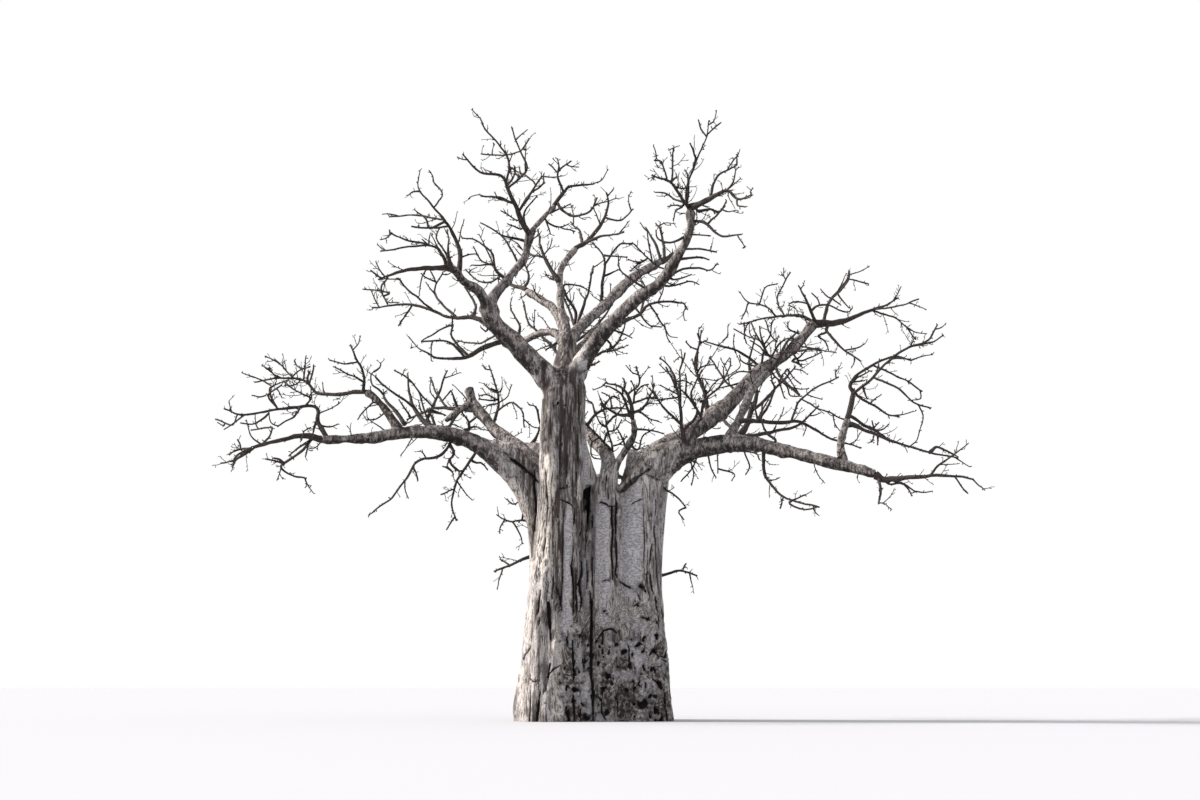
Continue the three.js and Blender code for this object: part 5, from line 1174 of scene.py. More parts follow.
def frontMarks(corners, normals):
    # What frontBark draws on the faces that look forward: height, painted shade in cuts and hollows, plate,
    # stains mixed with painted shade, and painted sunlight.
    rule, reach, edge = markRule, markRule["reach"], markRule["edge"]
    height, crackShade, plate, stainAndShade, paintedSun = np.zeros((5, len(corners)))
    front = facing(normals)
    spots = 100 * seen(corners)[:, :2]
    sway = barkNoise("sway", corners) * ramp(rule["swayTop"] - spots[:, 1], 0, rule["swayFade"])
    spots = spots + rule["waver"] * barkNoise("waver", corners, shifts, 2)
    spots[:, 0] += rule["sway"] * sway
    gap = 1 - rule["gap"] * ramp(barkNoise("gap", corners), *edge["gap"])
    ragged, streak = barkNoise("ragged", corners), barkNoise("streak", corners)
    for line in frontBark["plates"]:
        on, (far, share, half) = strokesOn(spots, line, reach["plate"])
        inside = ramp(half[:, 0] - far + rule["plateRagged"] * (ragged[on] + streak[on]), *edge["plate"])
        plate[on] = np.maximum(plate[on], inside * front[on])
    # stains, some of them painted shade
    for strength, *line in frontBark["stainsAndShade"]:
        on, (far, share, half) = strokesOn(spots, line, reach["stainAndShade"])
        wash = 1 - ramp(far / half[:, 0] + rule["ragged"] * ragged[on], *edge["stainAndShade"])
        wash *= 1 - rule["streaked"] / 2 + rule["streaked"] * streak[on]
        wash *= strength * (1 - rule["cleanPlate"] * plate[on])
        stainAndShade[on] = np.maximum(stainAndShade[on], wash * front[on])
    # painted sunlight
    for strength, *line in frontBark["paintedSunlit"]:
        on, (far, share, half) = strokesOn(spots, line, reach["paintedSunlit"])
        sheen = strength * (1 - ramp(far / half[:, 0] + rule["ragged"] * ragged[on], *edge["paintedSunlit"]))
        paintedSun[on] = np.maximum(paintedSun[on], sheen * front[on])
    height += relief["plate"] * plate
    for width, depth, dark, *line in frontBark["cuts"]:
        on, (far, share, _) = strokesOn(spots, line, reach["cut"] * width, 2)
        taper = rule["cutEnd"] + (1 - rule["cutEnd"]) * np.sqrt(4 * share * (1 - share))
        narrow = width * taper * (1 + rule["cutRagged"] * ragged[on])
        broken = gap[on] if width < rule["gapWidth"] and depth > 0 else 1
        cut = np.exp(-((far / narrow) ** 2)) * front[on] * broken
        # the cut and a wider halo round it are darkened: painted shade
        halo = np.exp(-((far / (rule["cutShadeWidth"] * narrow)) ** 2)) * front[on]
        height[on] -= depth / 100 * cut
        crackShade[on] = np.maximum(crackShade[on], dark * ramp(cut, *edge["cut"]))
        stainAndShade[on] = np.maximum(stainAndShade[on], rule["cutShade"] * dark * halo)
    spots = spots + rule["holeBend"] * barkNoise("bend", corners, shifts, 2)
    for across, up, wide, tall in frontBark["hollows"]:
        far = np.linalg.norm((spots - [across, up]) / [wide, tall], axis=1) + rule["hollowRagged"] * ragged
        cut = np.exp(-np.maximum(far, 0) ** 3) * front
        height -= rule["hollowDepth"] * min(wide, tall) * cut
        # painted shade inside each hollow and round it
        crackShade = np.maximum(crackShade, rule["hollowDark"] * ramp(cut, *edge["hollow"]))
        stainAndShade = np.maximum(stainAndShade, rule["hollowShade"] * np.exp(-((far / 2) ** 2)) * front)
    return height, crackShade, plate, stainAndShade, paintedSun


def trunkRelief(corners, normals):
    # Height, tone (painted shade in cracks, plate, stains mixed with painted shade), painted sunlight and how
    # gnarled it is at each corner: upright flutes, ropes and wrinkles everywhere, pits low down, patches
    # round the back, and on the front frontMarks.
    rule = relief
    warped = corners + rule["warp"] * barkNoise("warp", corners, shifts)
    crease = ramp(barkNoise("rope", warped, ridged), *rule["crease"])
    wrinkle = barkNoise("wrinkle", warped)
    patches, mottle = barkNoise("patches", warped, fractal), barkNoise("mottle", warped, fractal)
    gnarl, knurl = barkNoise("gnarl", warped, fractal), barkNoise("knurl", warped, ridged)
    markHeight, markCrackShade, markPlate, markStainAndShade, paintedSun = frontMarks(corners, normals)
    across, up = seen(corners)[:, :2].T
    # the marks are known on the front and the patches stand in for them elsewhere
    top, fade = rule["markTop"]
    known = facing(normals) * ramp(top - up, 0, fade)
    plate = markPlate + 0.8 * (1 - known) * ramp(patches, *rule["bluntPlate"])
    stainAndShade = np.maximum(markStainAndShade, 0.6 * (1 - known) * ramp(-patches, *rule["backStain"]))
    # painted sunlight on faces that turn to the sun, where the front marks are not known
    sun = ramp(-normals[:, 0] + 0.4 * patches, *rule["sunny"])
    paintedSun = np.maximum(paintedSun, 0.6 * (1 - known) * sun)
    # the gnarled base, all but the left of its front
    top, fade = rule["baseTop"]
    low = 1 - ramp(corners[:, 2] + rule["baseRagged"] * patches, top - fade, top)
    base = low * (ramp(across, *rule["smoothLeft"]) * known + (1 - known))
    pit = ramp(gnarl, *rule["pitEdge"]) * base * (1 - 0.7 * markPlate)
    furrow = ramp(knurl, *rule["furrowEdge"]) * base * (1 - 0.6 * markPlate)
    rough = 1 - 0.85 * plate
    height = rule["flute"] * barkNoise("flute", warped) + markHeight
    height -= rough * (rule["rope"] * crease + rule["wrinkle"] * (0.5 - wrinkle))
    height -= rule["pit"] * pit + rule["furrow"] * furrow
    # painted shade in the rope creases, pits and furrows
    crackShade = np.maximum(markCrackShade, 0.85 * rough * (1 - 0.6 * base) * crease * (0.6 + 0.4 * wrinkle))
    crackShade = np.maximum(crackShade, np.maximum(0.9 * ramp(pit, *rule["pitShade"]), 0.8 * furrow))
    plate = np.maximum(plate, 0.7 * base * ramp(mottle, *rule["mottlePlate"]))
    # mottled stains, and painted shade on the slopes into the furrows
    worn = np.maximum(0.9 * ramp(-mottle, *rule["mottleStain"]), 0.7 * ramp(knurl, *rule["knurlShade"]))
    stainAndShade = np.maximum(stainAndShade, base * worn)
    return height, np.clip(np.stack([crackShade, plate, stainAndShade], -1), 0, 1), paintedSun, base


def rootsNear(corners, names):
    # How much each corner belongs to the first stretch of one of the boughs, and how far along it lies:
    # 1 at the bough's root, 0 from the end of the youth range on.
    near, old = np.zeros((2, len(corners)))
    first, last = trunkSettings["youth"]
    for name in names:
        limb = limbs[name]
        shares = np.linspace(0, 1, 60)
        axis, wide = curveAt(limb["points"], shares), radiusOf(limb, shares)
        away = np.stack([np.linalg.norm(corners - spot, axis=1) for spot in axis])
        best = away.argmin(0)
        on = 1 - ramp(away.min(0) / wide[best], *trunkSettings["beside"])
        near = np.maximum(near, on)
        old = np.maximum(old, on * (1 - ramp(shares[best] * limb["length"], first, last)))
    return near, old


def flatCut(made):
    # Cuts the mesh level with the ground and closes it with one flat face.
    mesh = bmesh.new()
    mesh.from_mesh(made.data)
    whole = mesh.verts[:] + mesh.edges[:] + mesh.faces[:]
    cut = bmesh.ops.bisect_plane(mesh, geom=whole, plane_co=(0, 0, 0), plane_no=(0, 0, 1), clear_inner=True)
    rim = [edge for edge in cut["geom_cut"] if isinstance(edge, bmesh.types.BMEdge)]
    bmesh.ops.holes_fill(mesh, edges=rim)
    mesh.to_mesh(made.data)
    mesh.free()


def buildTrunk(material):
    # Each skin is made of its overlapping parts, smoothed, pushed out by the relief and cut level.
    for name, (grain, stemNames, boughNames) in trunkSettings["groups"].items():
        skins = [stemSkin(stem) for stem in stemNames] + [stubSkin(bough) for bough in boughNames]
        skins += [foldSkin(bends) for bends in trunkFolds.get(name, ())]
        corners, faces = voxelSkin(skins, grain)
        corners = relaxed(corners, faces, trunkSettings["relaxing"])
        normals = normalsOf(corners, faces)
        height, tone, paintedSun, gnarled = trunkRelief(corners, normals)
        near, old = rootsNear(corners, boughNames)
        # its second channel is painted sunlight
        ageAndSun = np.stack([np.clip(near - old, 0, 1), paintedSun, gnarled], -1)
        skin = (corners + normals * height[:, None], faces)
        flatCut(pieceOf(name, skin, [material], ["trunk"], {"tone": tone, "ageAndSun": ageAndSun}))


# The boughs: closed skins, each with the limbs that part from it.

boughSettings = {
    "grain": 0.026, "rings": 16, "sides": 28, "relaxing": 3,
    # heights in metres, how wide a knot is, and how strongly the sunny side gets painted sunlight
    "lump": 0.035, "knot": 0.06, "fibre": 0.008, "crease": 0.025, "knotWide": 0.2, "paintedSun": 0.25,
    # from which value to which the creases and their painted shade, the painted shade of the underside, the
    # painted sunlight of the sunny side and the washes come in
    "creaseEdge": (0.62, 0.74), "underShade": (-0.1, 0.6), "sunny": (0.25, 0.9), "washEdge": (0.6, 1.3),
    # washes of painted shade: lines of (across, up, half width), in metres as seen
    "shaded": [
        [(-5.7, 8.85, 0.2), (-6.2, 9.2, 0.3), (-7, 9.95, 0.3)],
        [(-3.9, 9.0, 0.2), (-3.5, 8.7, 0.2)],
        [(3.3, 8.6, 0.25), (3.7, 8.6, 0.3)],
    ],
    "washReach": 0.8,
    # boughs that are thicker to the eye than in the solids
    "stout": {"left_rise": 1.25, "broken_bough": 1.12},
    "groups": {
        "boughsLeft": ("left_bough", "left_rise", "broken_bough", "broken_stub", "back_left_bough"),
        "boughsUpper": ("upper_left_bough", "upper_left_fork", "upper_left_rise", "upper_left_arm",
                        "central_stem", "central_rise", "central_left_limb", "central_low_limb",
                        "inner_right_bough", "inner_low_bough", "notch_bough", "right_crown_bough"),
        "boughsRight": ("notch_limb", "right_bough", "right_bough_outer", "right_upright", "high_right_bough",
                        "right_inner_limb", "back_right_bough"),
    },
}


def boughSkin(name):
    # A round skin along the smooth line of a bough, with its girth at each ring.
    limb = limbs[name]
    shares = np.linspace(0, 1, boughSettings["rings"] * (len(limb["points"]) - 1) + 1)
    radius = boughSettings["stout"].get(name, 1.0) * radiusOf(limb, shares)
    return tubes(curveAt(limb["points"], shares)[None], radius[None], boughSettings["sides"])


def boughRelief(corners, normals):
    # Lumps, strewn knots and fine fibre; creases and undersides are darkened as painted shade, and the bark
    # round knots is dark. Sides that face the sun get painted sunlight, and the shaded lines painted shade.
    rule = boughSettings
    lump, fibre = barkNoise("lump", corners, fractal), barkNoise("fibre", corners)
    knot = np.exp(-(barkNoise("knot", corners, strewn) / rule["knotWide"]) ** 2)
    crease = ramp(barkNoise("crease", corners, ridged), *rule["creaseEdge"])
    height = rule["lump"] * lump + rule["fibre"] * fibre + rule["knot"] * knot - rule["crease"] * crease
    # painted shade in the creases
    crackShade = 0.75 * crease * (0.7 + 0.3 * fibre)
    # painted shade on the underside, and dark bark round knots
    stainAndShade = np.maximum(0.9 * ramp(-normals[:, 2] + 0.25 * lump, *rule["underShade"]), 0.5 * knot)
    # painted sunlight on sides that face the sun
    paintedSun = rule["paintedSun"] * ramp(-normals[:, 0] + 0.4 * lump, *rule["sunny"])
    spots = seen(corners)[:, :2]
    # the shaded lines: washes of painted shade, which also take away the painted sunlight
    for line in rule["shaded"]:
        on, (far, share, half) = strokesOn(spots, line, rule["washReach"])
        wash = 1 - ramp(far / half[:, 0], *rule["washEdge"])
        stainAndShade[on] = np.maximum(stainAndShade[on], wash)
        paintedSun[on] *= 1 - wash
    return height, np.clip(np.stack([crackShade, 0 * crackShade, stainAndShade], -1), 0, 1), paintedSun


def buildBoughs(material):
    # Made as the trunk is, without the cut. Near the trunk a bough's bark is as old as the trunk's.
    fromTrunk = [spec["name"] for spec in boughs if spec["on"] == "trunk"]
    for name, members in boughSettings["groups"].items():
        corners, faces = voxelSkin([boughSkin(member) for member in members], boughSettings["grain"])
        corners = relaxed(corners, faces, boughSettings["relaxing"])
        normals = normalsOf(corners, faces)
        height, tone, paintedSun = boughRelief(corners, normals)
        near, old = rootsNear(corners, [member for member in members if member in fromTrunk])
        # its second channel is painted sunlight
        ageAndSun = np.stack([1 - old, paintedSun, 0 * old], -1)
        skin = (corners + normals * height[:, None], faces)
        pieceOf(name, skin, [material], members, {"tone": tone, "ageAndSun": ageAndSun})


# The twigs: the masses' limbs, roughened, and finer twigs and spurs that go on from them.

# Small limbs as seen, in centimetres, by the pieces that carry them: girth, across and up at the root, and
# then the steps across and up from bend to bend.
smallLimbs = {
    "twigsLeft": [
      (9, -484, 885, -24, 45, -18, 54), (15, -194, 819, 22, 33, 14, 36), (7.5, -158, 888, -14, 48, -24, 9),
      (9, -194, 591, -56, 6, -40, 18), (6, -244, 597, 20, -33, 10, -36), (6, -266, 603, -14, -24, 0, -21),
      (6, -208, 660, -30, -15, -22, 15), (6, -880, 837, 8, 27, 22, 12), (6, -910, 1026, 20, 21, 36, 15),
      (6, -874, 1056, -18, 9, -10, 18), (6, -866, 1026, -2, 30, 2, 42), (6, -952, 1029, -24, 18, -22, 18),
      (6, -946, 1035, -18, 6, -16, 15), (7.5, -956, 936, -20, 48, 8, 15, 46, 21),
      (6, -976, 978, -30, -9, -24, 3), (7.5, -872, 945, 16, 18, 6, 33), (6, -856, 966, -40, 21, -42, 27),
      (7.5, -976, 921, -24, -21, -30, -12, -34, 3), (6, -1052, 918, -24, -21, -38, -27),
      (6, -814, 888, 18, -9, 26, 12), (15, -374, 870, 0, 18, -12, 24, -12, 15),
      (9, -374, 888, 16, 18, 18, 24, 12, 12), (9, -374, 873, 18, 6, 16, -3), (9, -286, 960, -28, 0, -32, 6),
      (6, -292, 954, -24, 18, -30, 0), (6, -290, 948, -24, 0, -12, -9), (7.5, -290, 984, -18, 9, -2, -6),
      (7.5, -290, 978, 12, 6, 4, 9), (10.5, -412, 945, -10, 21, -8, 21), (6, -430, 987, -12, -12, -12, -15),
      (12, -422, 822, 4, -21, -12, -21, -10, -24), (9, -440, 756, 16, -12, 6, -9), (7.5, -440, 756, -14, 3),
      (9, -430, 780, 8, -21, 22, -12), (9, -356, 771, 18, -3, 18, -21),
      (15, -568, 885, -28, 39, -30, 36, -6, 18, 12, 12), (7.5, -550, 906, -22, 33, -14, 21),
      (7.5, -632, 978, -18, 18, -20, 15, -4, 24, 6, 12), (7.5, -646, 948, -18, 6, -6, 18),
      (6, -664, 954, -30, -30, -18, -24), (6, -632, 918, -18, -15, -32, -6),
      (7.5, -694, 1014, -36, 21, -58, 27), (7.5, -664, 1047, 18, 12, 2, 12),
      (16.5, -500, 927, 28, -6, 30, -6), (13.5, -470, 876, -12, 24, -12, 27),
      (12, -1024, 813, -28, -18, -24, -18, -12, -21), (7.5, -1076, 777, -18, -12),
      (7.5, -1030, 819, -28, -6, -24, -12, -14, -6), (6, -1060, 816, -4, 12, -8, 12),
      (9, -854, 840, -32, -24, -30, -27), (6, -856, 831, -6, -27, -4, -12),
      (10.5, -934, 774, -16, 6, -20, 3), (9, -832, 900, -6, -24, -4, -18), (9, -860, 1008, 0, 24, 6, 18),
      (6, -994, 1017, 24, -15),
    ],
    "twigsUpperLeft": [
      (9, -208, 1440, -54, 18, -84, 42), (7.5, -232, 1374, -28, 66, -20, 24),
      (9, -296, 1356, -12, 54, -48, 36, -44, 9), (7.5, -310, 1374, -60, -3), (6, -250, 1569, -36, 6),
      (9, -226, 1551, 32, 39, 36, 30, 6, 30), (7.5, -200, 1476, -8, 60, 38, 48), (7.5, -142, 1533, 50, 15),
      (7.5, -130, 1497, 74, -21), (6, -416, 1194, -56, -30, -48, -27), (7.5, -322, 1170, -16, 9),
      (6, -530, 1599, -20, -3, -12, -12), (9, -458, 1497, -36, -12, -14, 30, -34, 27),
      (6, -434, 1374, -18, 36, -26, 45, 14, 30), (6, -616, 1287, -40, 6, -44, 6), (6, -482, 1317, -14, 39),
      (6, -482, 1317, -24, 15, -18, 12), (6, -500, 1428, -24, 24), (6, -500, 1428, -2, 18, 6, 18),
      (6, -316, 1374, -24, 15, -24, 39), (6, -400, 1395, 24, 9, 24, 6), (6, -616, 1464, -4, 15),
      (7.5, -260, 1617, 18, 21, 4, 21, -12, 9), (7.5, -220, 1635, -16, 21, 0, 18),
      (6, -202, 1644, -18, 12, -6, 18), (6, -200, 1641, 18, -12, 4, -9), (9, -226, 1548, 18, 21, 14, 21),
      (6, -260, 1581, -20, -9, -12, 3, -10, 21), (6, -230, 1512, -20, 9, -30, 15),
      (6, -220, 1482, -18, 9, -22, 6), (9, -208, 1440, -30, 12, -28, 9),
      (6, -140, 1515, 6, -18, 34, -6, 26, 9), (6, -140, 1515, 6, -36, 6, -15),
      (6, -112, 1539, 20, 9, 24, 9), (6, -106, 1656, 0, 24, -4, 15),
    ],
    "twigsCentre": [
      (12, -100, 1137, -46, -24), (12, -56, 1194, 4, 30, -34, 60, 0, 27, 46, -3, 30, -15),
      (12, 26, 1254, 2, 51, 4, 90, -36, 45), (7.5, 32, 1404, 72, -9), (7.5, 34, 1374, 46, 60, 30, 3),
      (7.5, 28, 1335, 52, 24), (6, 184, 1380, -14, 60, -10, 45), (9, 56, 804, -12, 66, -12, 60, 6, 24),
      (10.5, 56, 804, -24, 24, -28, 33, -38, 33), (10.5, -16, 888, 36, 36, 44, 12, 40, -6),
      (9, 112, 915, -18, 45, -14, 24, -30, 15, -18, 6), (9, 116, 924, 30, 0, 24, -18, 32, -12),
      (7.5, 118, 954, 52, 12, 44, -6), (7.5, 122, 948, 2, 42, -8, 30), (7.5, 122, 870, 48, 0, 44, -12),
      (7.5, 134, 810, 14, 39, 22, 18), (6, 8, 912, -12, 36, -18, 9), (7.5, 40, 876, -20, 12, -12, 30),
      (7.5, 38, 885, 24, 21, 24, 24, 18, 30), (6, 32, 933, 24, 36, 24, -6),
      (7.5, 28, 831, 12, 30, 28, 9, 18, 30), (6, 14, 846, -18, -9, -12, 15), (6, 50, 822, 30, 6, 20, 24),
      (7.5, 98, 810, -12, 36, -16, 30), (6, -10, 822, 6, -36, 30, -6), (6, 116, 975, 26, 21, 28, 9),
      (6, 56, 936, -4, 30, -24, 18), (6, 140, 921, 18, 24, 26, 6), (6, 86, 978, 12, 30, -10, 21),
    ],
    "twigsRightCrown": [
      (9, 284, 1470, -48, -27, -40, 6, -8, 27), (9, 260, 1386, 60, 12, 30, -9),
      (10.5, 230, 1335, 30, 21, 60, 6, 36, -6, 24, 24), (7.5, 244, 1326, 52, 18),
      (7.5, 224, 1305, 66, 15, 30, -9), (9, 154, 1302, -44, 27, -30, 30, -4, 45), (7.5, 302, 1464, 54, -6),
      (7.5, 320, 1536, 36, 6, 30, -6, 18, 33), (12, 58, 1176, 60, -27), (12, -4, 1062, 26, 15),
      (9, 46, 1140, 28, -42), (7.5, 140, 1224, 30, -33, 38, -6), (6, 344, 1764, -16, 24, -8, 33),
      (7.5, 278, 1560, -30, 15, -28, 18, -36, 0), (7.5, 272, 1551, -18, 6, -28, -6),
      (6, 272, 1545, -22, -9, -8, -27), (6, 290, 1614, -18, -6, -24, 6), (9, 236, 1626, 18, 18),
      (10.5, 320, 1536, 42, 6, 8, -15), (6, 362, 1536, 24, -3, 20, 36), (6, 434, 1569, 2, -18, 22, -3),
      (6, 400, 1599, 24, 30, 10, 33), (6, 434, 1677, 0, 33), (7.5, 286, 1563, 6, 36, -6, 42, -8, 21),
      (6, 248, 1614, 24, -6, 20, 6), (9, 310, 1533, 28, 6, 24, 3, 12, -9),
      (6, 184, 1374, -18, 18, -26, 27, -24, 21, -34, -3), (6, 166, 1392, -26, -12, -36, 12),
      (6, 164, 1392, -30, -18, -24, -18),
    ],
    "twigsRight": [
      (10.5, 290, 840, 24, 45, 12, 21, -22, 45, -24, 24), (7.5, 326, 906, 8, 39, 4, 30, -10, 45),
      (7.5, 254, 885, -30, 45, -30, 36, -24, 30), (6, 376, 801, 0, -66), (6, 380, 750, 42, -15, -6, -24),
      (7.5, 392, 807, 92, -6, 16, -21), (9, 550, 837, -30, 24, -14, 84, 38, 51),
      (9, 212, 696, 42, -30, 24, -30), (6, 310, 786, -20, -42, -24, -30), (6, 344, 792, 8, -36, 16, -30),
      (6, 454, 804, 16, -42, -12, -30), (6, 898, 1086, 60, -6), (9, 590, 645, 44, -15, 40, 6),
      (6, 290, 774, 12, -36, -6, -36), (6, 278, 636, -22, -12, 16, -24),
      (9, 250, 990, -6, 42, -14, 30, -28, 27), (9, 320, 909, -12, 33, -30, 36, -28, 24),
      (6, 278, 978, 0, 36, 2, 27), (6, 250, 1014, 22, 6, 26, -12),
      (9, 326, 924, 12, 33, 36, 39, 38, 60, 4, 30), (7.5, 338, 960, 0, 33, -24, 51, -12, 42),
      (7.5, 314, 1044, 2, 66, 12, 27, 18, 9), (6, 316, 1116, -20, 6, -16, 15), (6, 326, 1137, -12, 27),
      (6, 314, 1047, 18, 15, 32, 3), (6, 256, 966, -26, 0, -28, -3), (6, 250, 975, -20, 15, -28, 15),
      (7.5, 490, 900, -2, 30, 2, 33), (7.5, 494, 900, 12, 27, 24, 39),
      (16.5, 766, 888, 34, -12, 36, -15, 54, -21, 60, -21), (12, 1016, 798, 18, 18, 30, -9, 36, -21),
      (9, 814, 996, 10, -33), (7.5, 784, 1011, 22, 18, 30, 18), (6, 788, 1008, 30, 9),
      (7.5, 866, 717, 24, -12, 32, 3, 22, -18, 12, -21), (6, 854, 867, 18, 6, 18, 18),
      (6, 844, 873, -6, 24), (6, 848, 873, 12, 18), (7.5, 860, 849, 0, -27), (6, 962, 1119, 62, 18, 34, 21),
    ],
    "twigsHighRight": [
      (10.5, 514, 1065, -60, 33, -74, 27, -46, 12), (15, 446, 1014, -60, -18), (9, 620, 1119, 66, -3),
      (9, 628, 1161, -36, 15, -2, 24), (7.5, 614, 1086, 14, -24), (7.5, 554, 1026, 66, -51),
      (9, 544, 1074, 40, 36, 24, 36), (9, 500, 1044, 12, 60, 32, 36), (7.5, 574, 1080, -26, 36, 12, 39),
      (6, 470, 1254, -10, -24, -12, -24), (6, 500, 1251, 20, 51, 40, 15),
      (6, 638, 1251, -28, 9, -18, -12, 18, -12), (9, 652, 1227, 28, 18, 30, 6, 14, 18, 22, 21),
      (6, 746, 1290, 26, 33, 4, 30), (6, 742, 1287, 16, -27, 18, -18), (6, 722, 1269, 26, -21),
      (6, 706, 1275, -20, 24), (6, 680, 1269, -18, 18), (6, 710, 1251, 54, -21, 18, 12),
      (9, 524, 1098, -16, 30, -18, 33, -14, 33), (7.5, 518, 1113, -12, 39, -6, 33),
      (6, 500, 1137, -36, 15, -40, 24), (6, 512, 1125, 24, 30, 6, 42), (6, 554, 1137, -22, 24, -12, 39),
      (6, 518, 1104, -18, 18, -28, 18), (9, 536, 1092, 24, 33, 26, 21, 30, -6),
      (7.5, 548, 1083, 32, 24, 30, 24), (6, 608, 1077, 24, 18, 20, 21), (6, 610, 1074, 34, 6, 48, 27),
      (9, 602, 1077, 18, -6, 12, -18), (6, 578, 1041, 18, -27, 20, -30), (6, 586, 1053, 18, -27, 22, -18),
      (6, 556, 1020, 28, -21, 8, -24, 36, 0), (6, 550, 1017, 18, -27, 6, -24),
      (6, 536, 1020, 12, -24, -18, -30), (6, 506, 1053, -36, -6, -42, -3, -42, -42),
      (7.5, 506, 1050, -16, 15, -42, 12, -8, 18), (6, 764, 1113, 30, 6, 24, 12),
      (7.5, 680, 1158, 20, -18, 10, -30),
    ],
}

# Each order of twigs that grows on from the ones before: spacing, length and girth at the root in metres.
boughTwigs = {
    "spacing": 0.55, "length": 0.7, "girth": 0.04, "end": 0.5, "lean": 1.15, "rings": 8, "sides": 6,
    "crook": 0.8, "lift": 0.2, "from": 0.3, "fade": 0.3, "crowds": False,
}
fineTwigs = {
    "spacing": 0.54, "length": 0.55, "girth": 0.027, "end": 0.6, "lean": 0.85, "rings": 8, "sides": 5,
    "crook": 0.55, "lift": 0.2, "from": 0.08, "fade": 0.7, "crowds": True,
}
shoots = {
    "spacing": 0.34, "length": 0.26, "girth": 0.02, "end": 0.7, "lean": 0.8, "rings": 6, "sides": 5,
    "crook": 0.5, "lift": 0.15, "from": 0.15, "fade": 0.7, "crowds": True,
}
spurs = {
    "spacing": 0.17, "length": 0.075, "girth": 0.023, "end": 0.8, "lean": 1.1, "rings": 4, "sides": 4,
    "crook": 0.3, "lift": 0.1, "from": 0.05, "fade": 0.3, "crowds": False,
}
# What they share: the reach of each chance, how a twig's length falls to its stretches, and the most girth it
# may have, in radii of its source.
orderRule = {
    "placeDrift": 0.6, "turn": 6.28, "leanDrift": 0.5, "longer": 1.2, "shortness": 1.6, "thinnest": 0.8,
    "thicker": 0.5, "stretches": (0.35, 0.35, 0.3), "stoutest": 1.8,
}

# Where twigs stand about twice as close as elsewhere, and where there are hardly any: (across, up, radius)
# as seen, in metres.
crowding = {
    "dealt": 2, "stay": 0.4, "more": 0.5,  # twigs dealt out to each spacing, and the chance that one stays
    "crowded": [
      (-2.4, 16.3, 0.4), (-2.2, 14.9, 0.5), (-1.5, 15.4, 0.3), (-1.5, 13.6, 0.5), (-2.4, 12.9, 0.4),
      (-0.4, 16.3, 0.5), (2.4, 16.3, 0.4), (1.4, 13.7, 0.5), (1.8, 12.5, 0.4), (5.3, 12.2, 0.7),
      (6.1, 11.8, 0.3), (6.9, 11.5, 0.4), (-4.9, 9.2, 0.3), (-3.7, 9, 0.4), (-4.3, 7.7, 0.5),
      (-3.3, 9.8, 0.4), (0.6, 8.7, 0.6), (0.3, 9.4, 0.4), (1.5, 9.5, 0.4), (2.6, 9.7, 0.6), (3.3, 9.8, 0.4),
      (-9.3, 10.4, 0.7), (-8.7, 9.7, 0.5), (-7, 10.4, 0.4), (-5.5, 13.9, 0.5), (-5.4, 12.2, 0.5),
      (-6.6, 12.3, 0.4), (-6.7, 13.3, 0.3), (3.9, 13.7, 0.4), (3.9, 16.6, 0.4), (9, 12.8, 0.4),
      (1.8, 16.5, 0.4), (-10.6, 8, 0.4), (-9.3, 8, 0.4), (-4.2, 6.3, 0.4), (4.7, 7.5, 0.5), (8.1, 10, 0.3),
      (10.1, 7.2, 0.6), (2.1, 6.6, 0.4),
    ],
    "airy": [
      (-10.5, 9, 0.7), (-9.6, 8.8, 0.5), (-3.3, 12, 0.7), (-4.9, 11.3, 0.5), (-4.2, 11.1, 0.4),
      (-4.7, 10, 0.4), (-5.3, 14.8, 0.4), (-4.7, 15.9, 0.4), (-4.9, 13.2, 0.7), (1.9, 14.5, 0.4),
      (3.8, 15.4, 0.3), (3.4, 14.1, 0.4), (2.7, 10.9, 0.5), (4.4, 10.4, 0.8), (4.8, 11.2, 0.5),
      (6.1, 9.9, 0.4), (5, 9.5, 0.5), (7.1, 12.3, 0.5), (7.5, 13.3, 0.4), (-6.3, 8.5, 0.6), (9.6, 9.6, 0.5),
    ],
}

twigSettings = {
    "wobble": ((0.55, 0.045), (0.21, 0.018)),  # size and reach of the bends in every twig
    "knuckle": 0.16, "knuckleSize": 0.16,  # how girth swells and narrows along a limb
    "swell": 0.5, "swellAt": 0.85, "swellLong": 0.25,  # the swelling near a tip, in shares
    "step": 0.1, "fewest": 6, "sides": 8, "boughRings": 40, "batch": 4000,
    "margin": 0.3,  # how far twigs may reach past the box of the solids
    "spray": 0.8,  # how wide a spray of one shade is
    "stout": 0.99, "joined": 0.1, "follow": 0.9, "blend": 2.2,
    # a small limb: girth at its tip, how far it sways in depth, and how near an axis its root moves onto it
    "tip": 0.04, "sway": 0.5, "snap": 0.12,
    "seeds": {"growth": 500, "limbs": 300, "side": 301, "sprays": 77, "wobble": 200},
    # limbs of a mass that are thinner than the rest
    "slim": {
        ("right_crown_twigs", 0): 0.6, ("right_tangle_twigs", 2): 0.5, ("high_right_shrub_twigs", 1): 0.5,
        ("high_right_shrub_twigs", 2): 0.45, ("high_right_shrub_twigs", 3): 0.45,
    },
    # which masses each three pieces stand for, by how their names start
    "groups": {
        "twigsLeft": ("left_", "broken_", "trunk_left", "back_left"),
        "twigsUpperLeft": ("upper_left_", "knuckle", "under_knuckle"),
        "twigsCentre": ("central_", "inner_", "notch_"),
        "twigsRightCrown": ("right_crown",),
        "twigsRight": ("right_shrub", "right_tip", "right_upright", "right_hanging", "right_middle",
                       "right_tangle", "trunk_right", "back_right"),
        "twigsHighRight": ("high_right",),
    },
}


def wobbled(path):
    # Every place is shifted by the same smooth noise, so a twig stays on the limb that it leaves.
    seed = twigSettings["seeds"]["wobble"]
    for number, (size, reach) in enumerate(twigSettings["wobble"]):
        path = path + reach * shifts(path / size, seed + 3 * number)
    return path


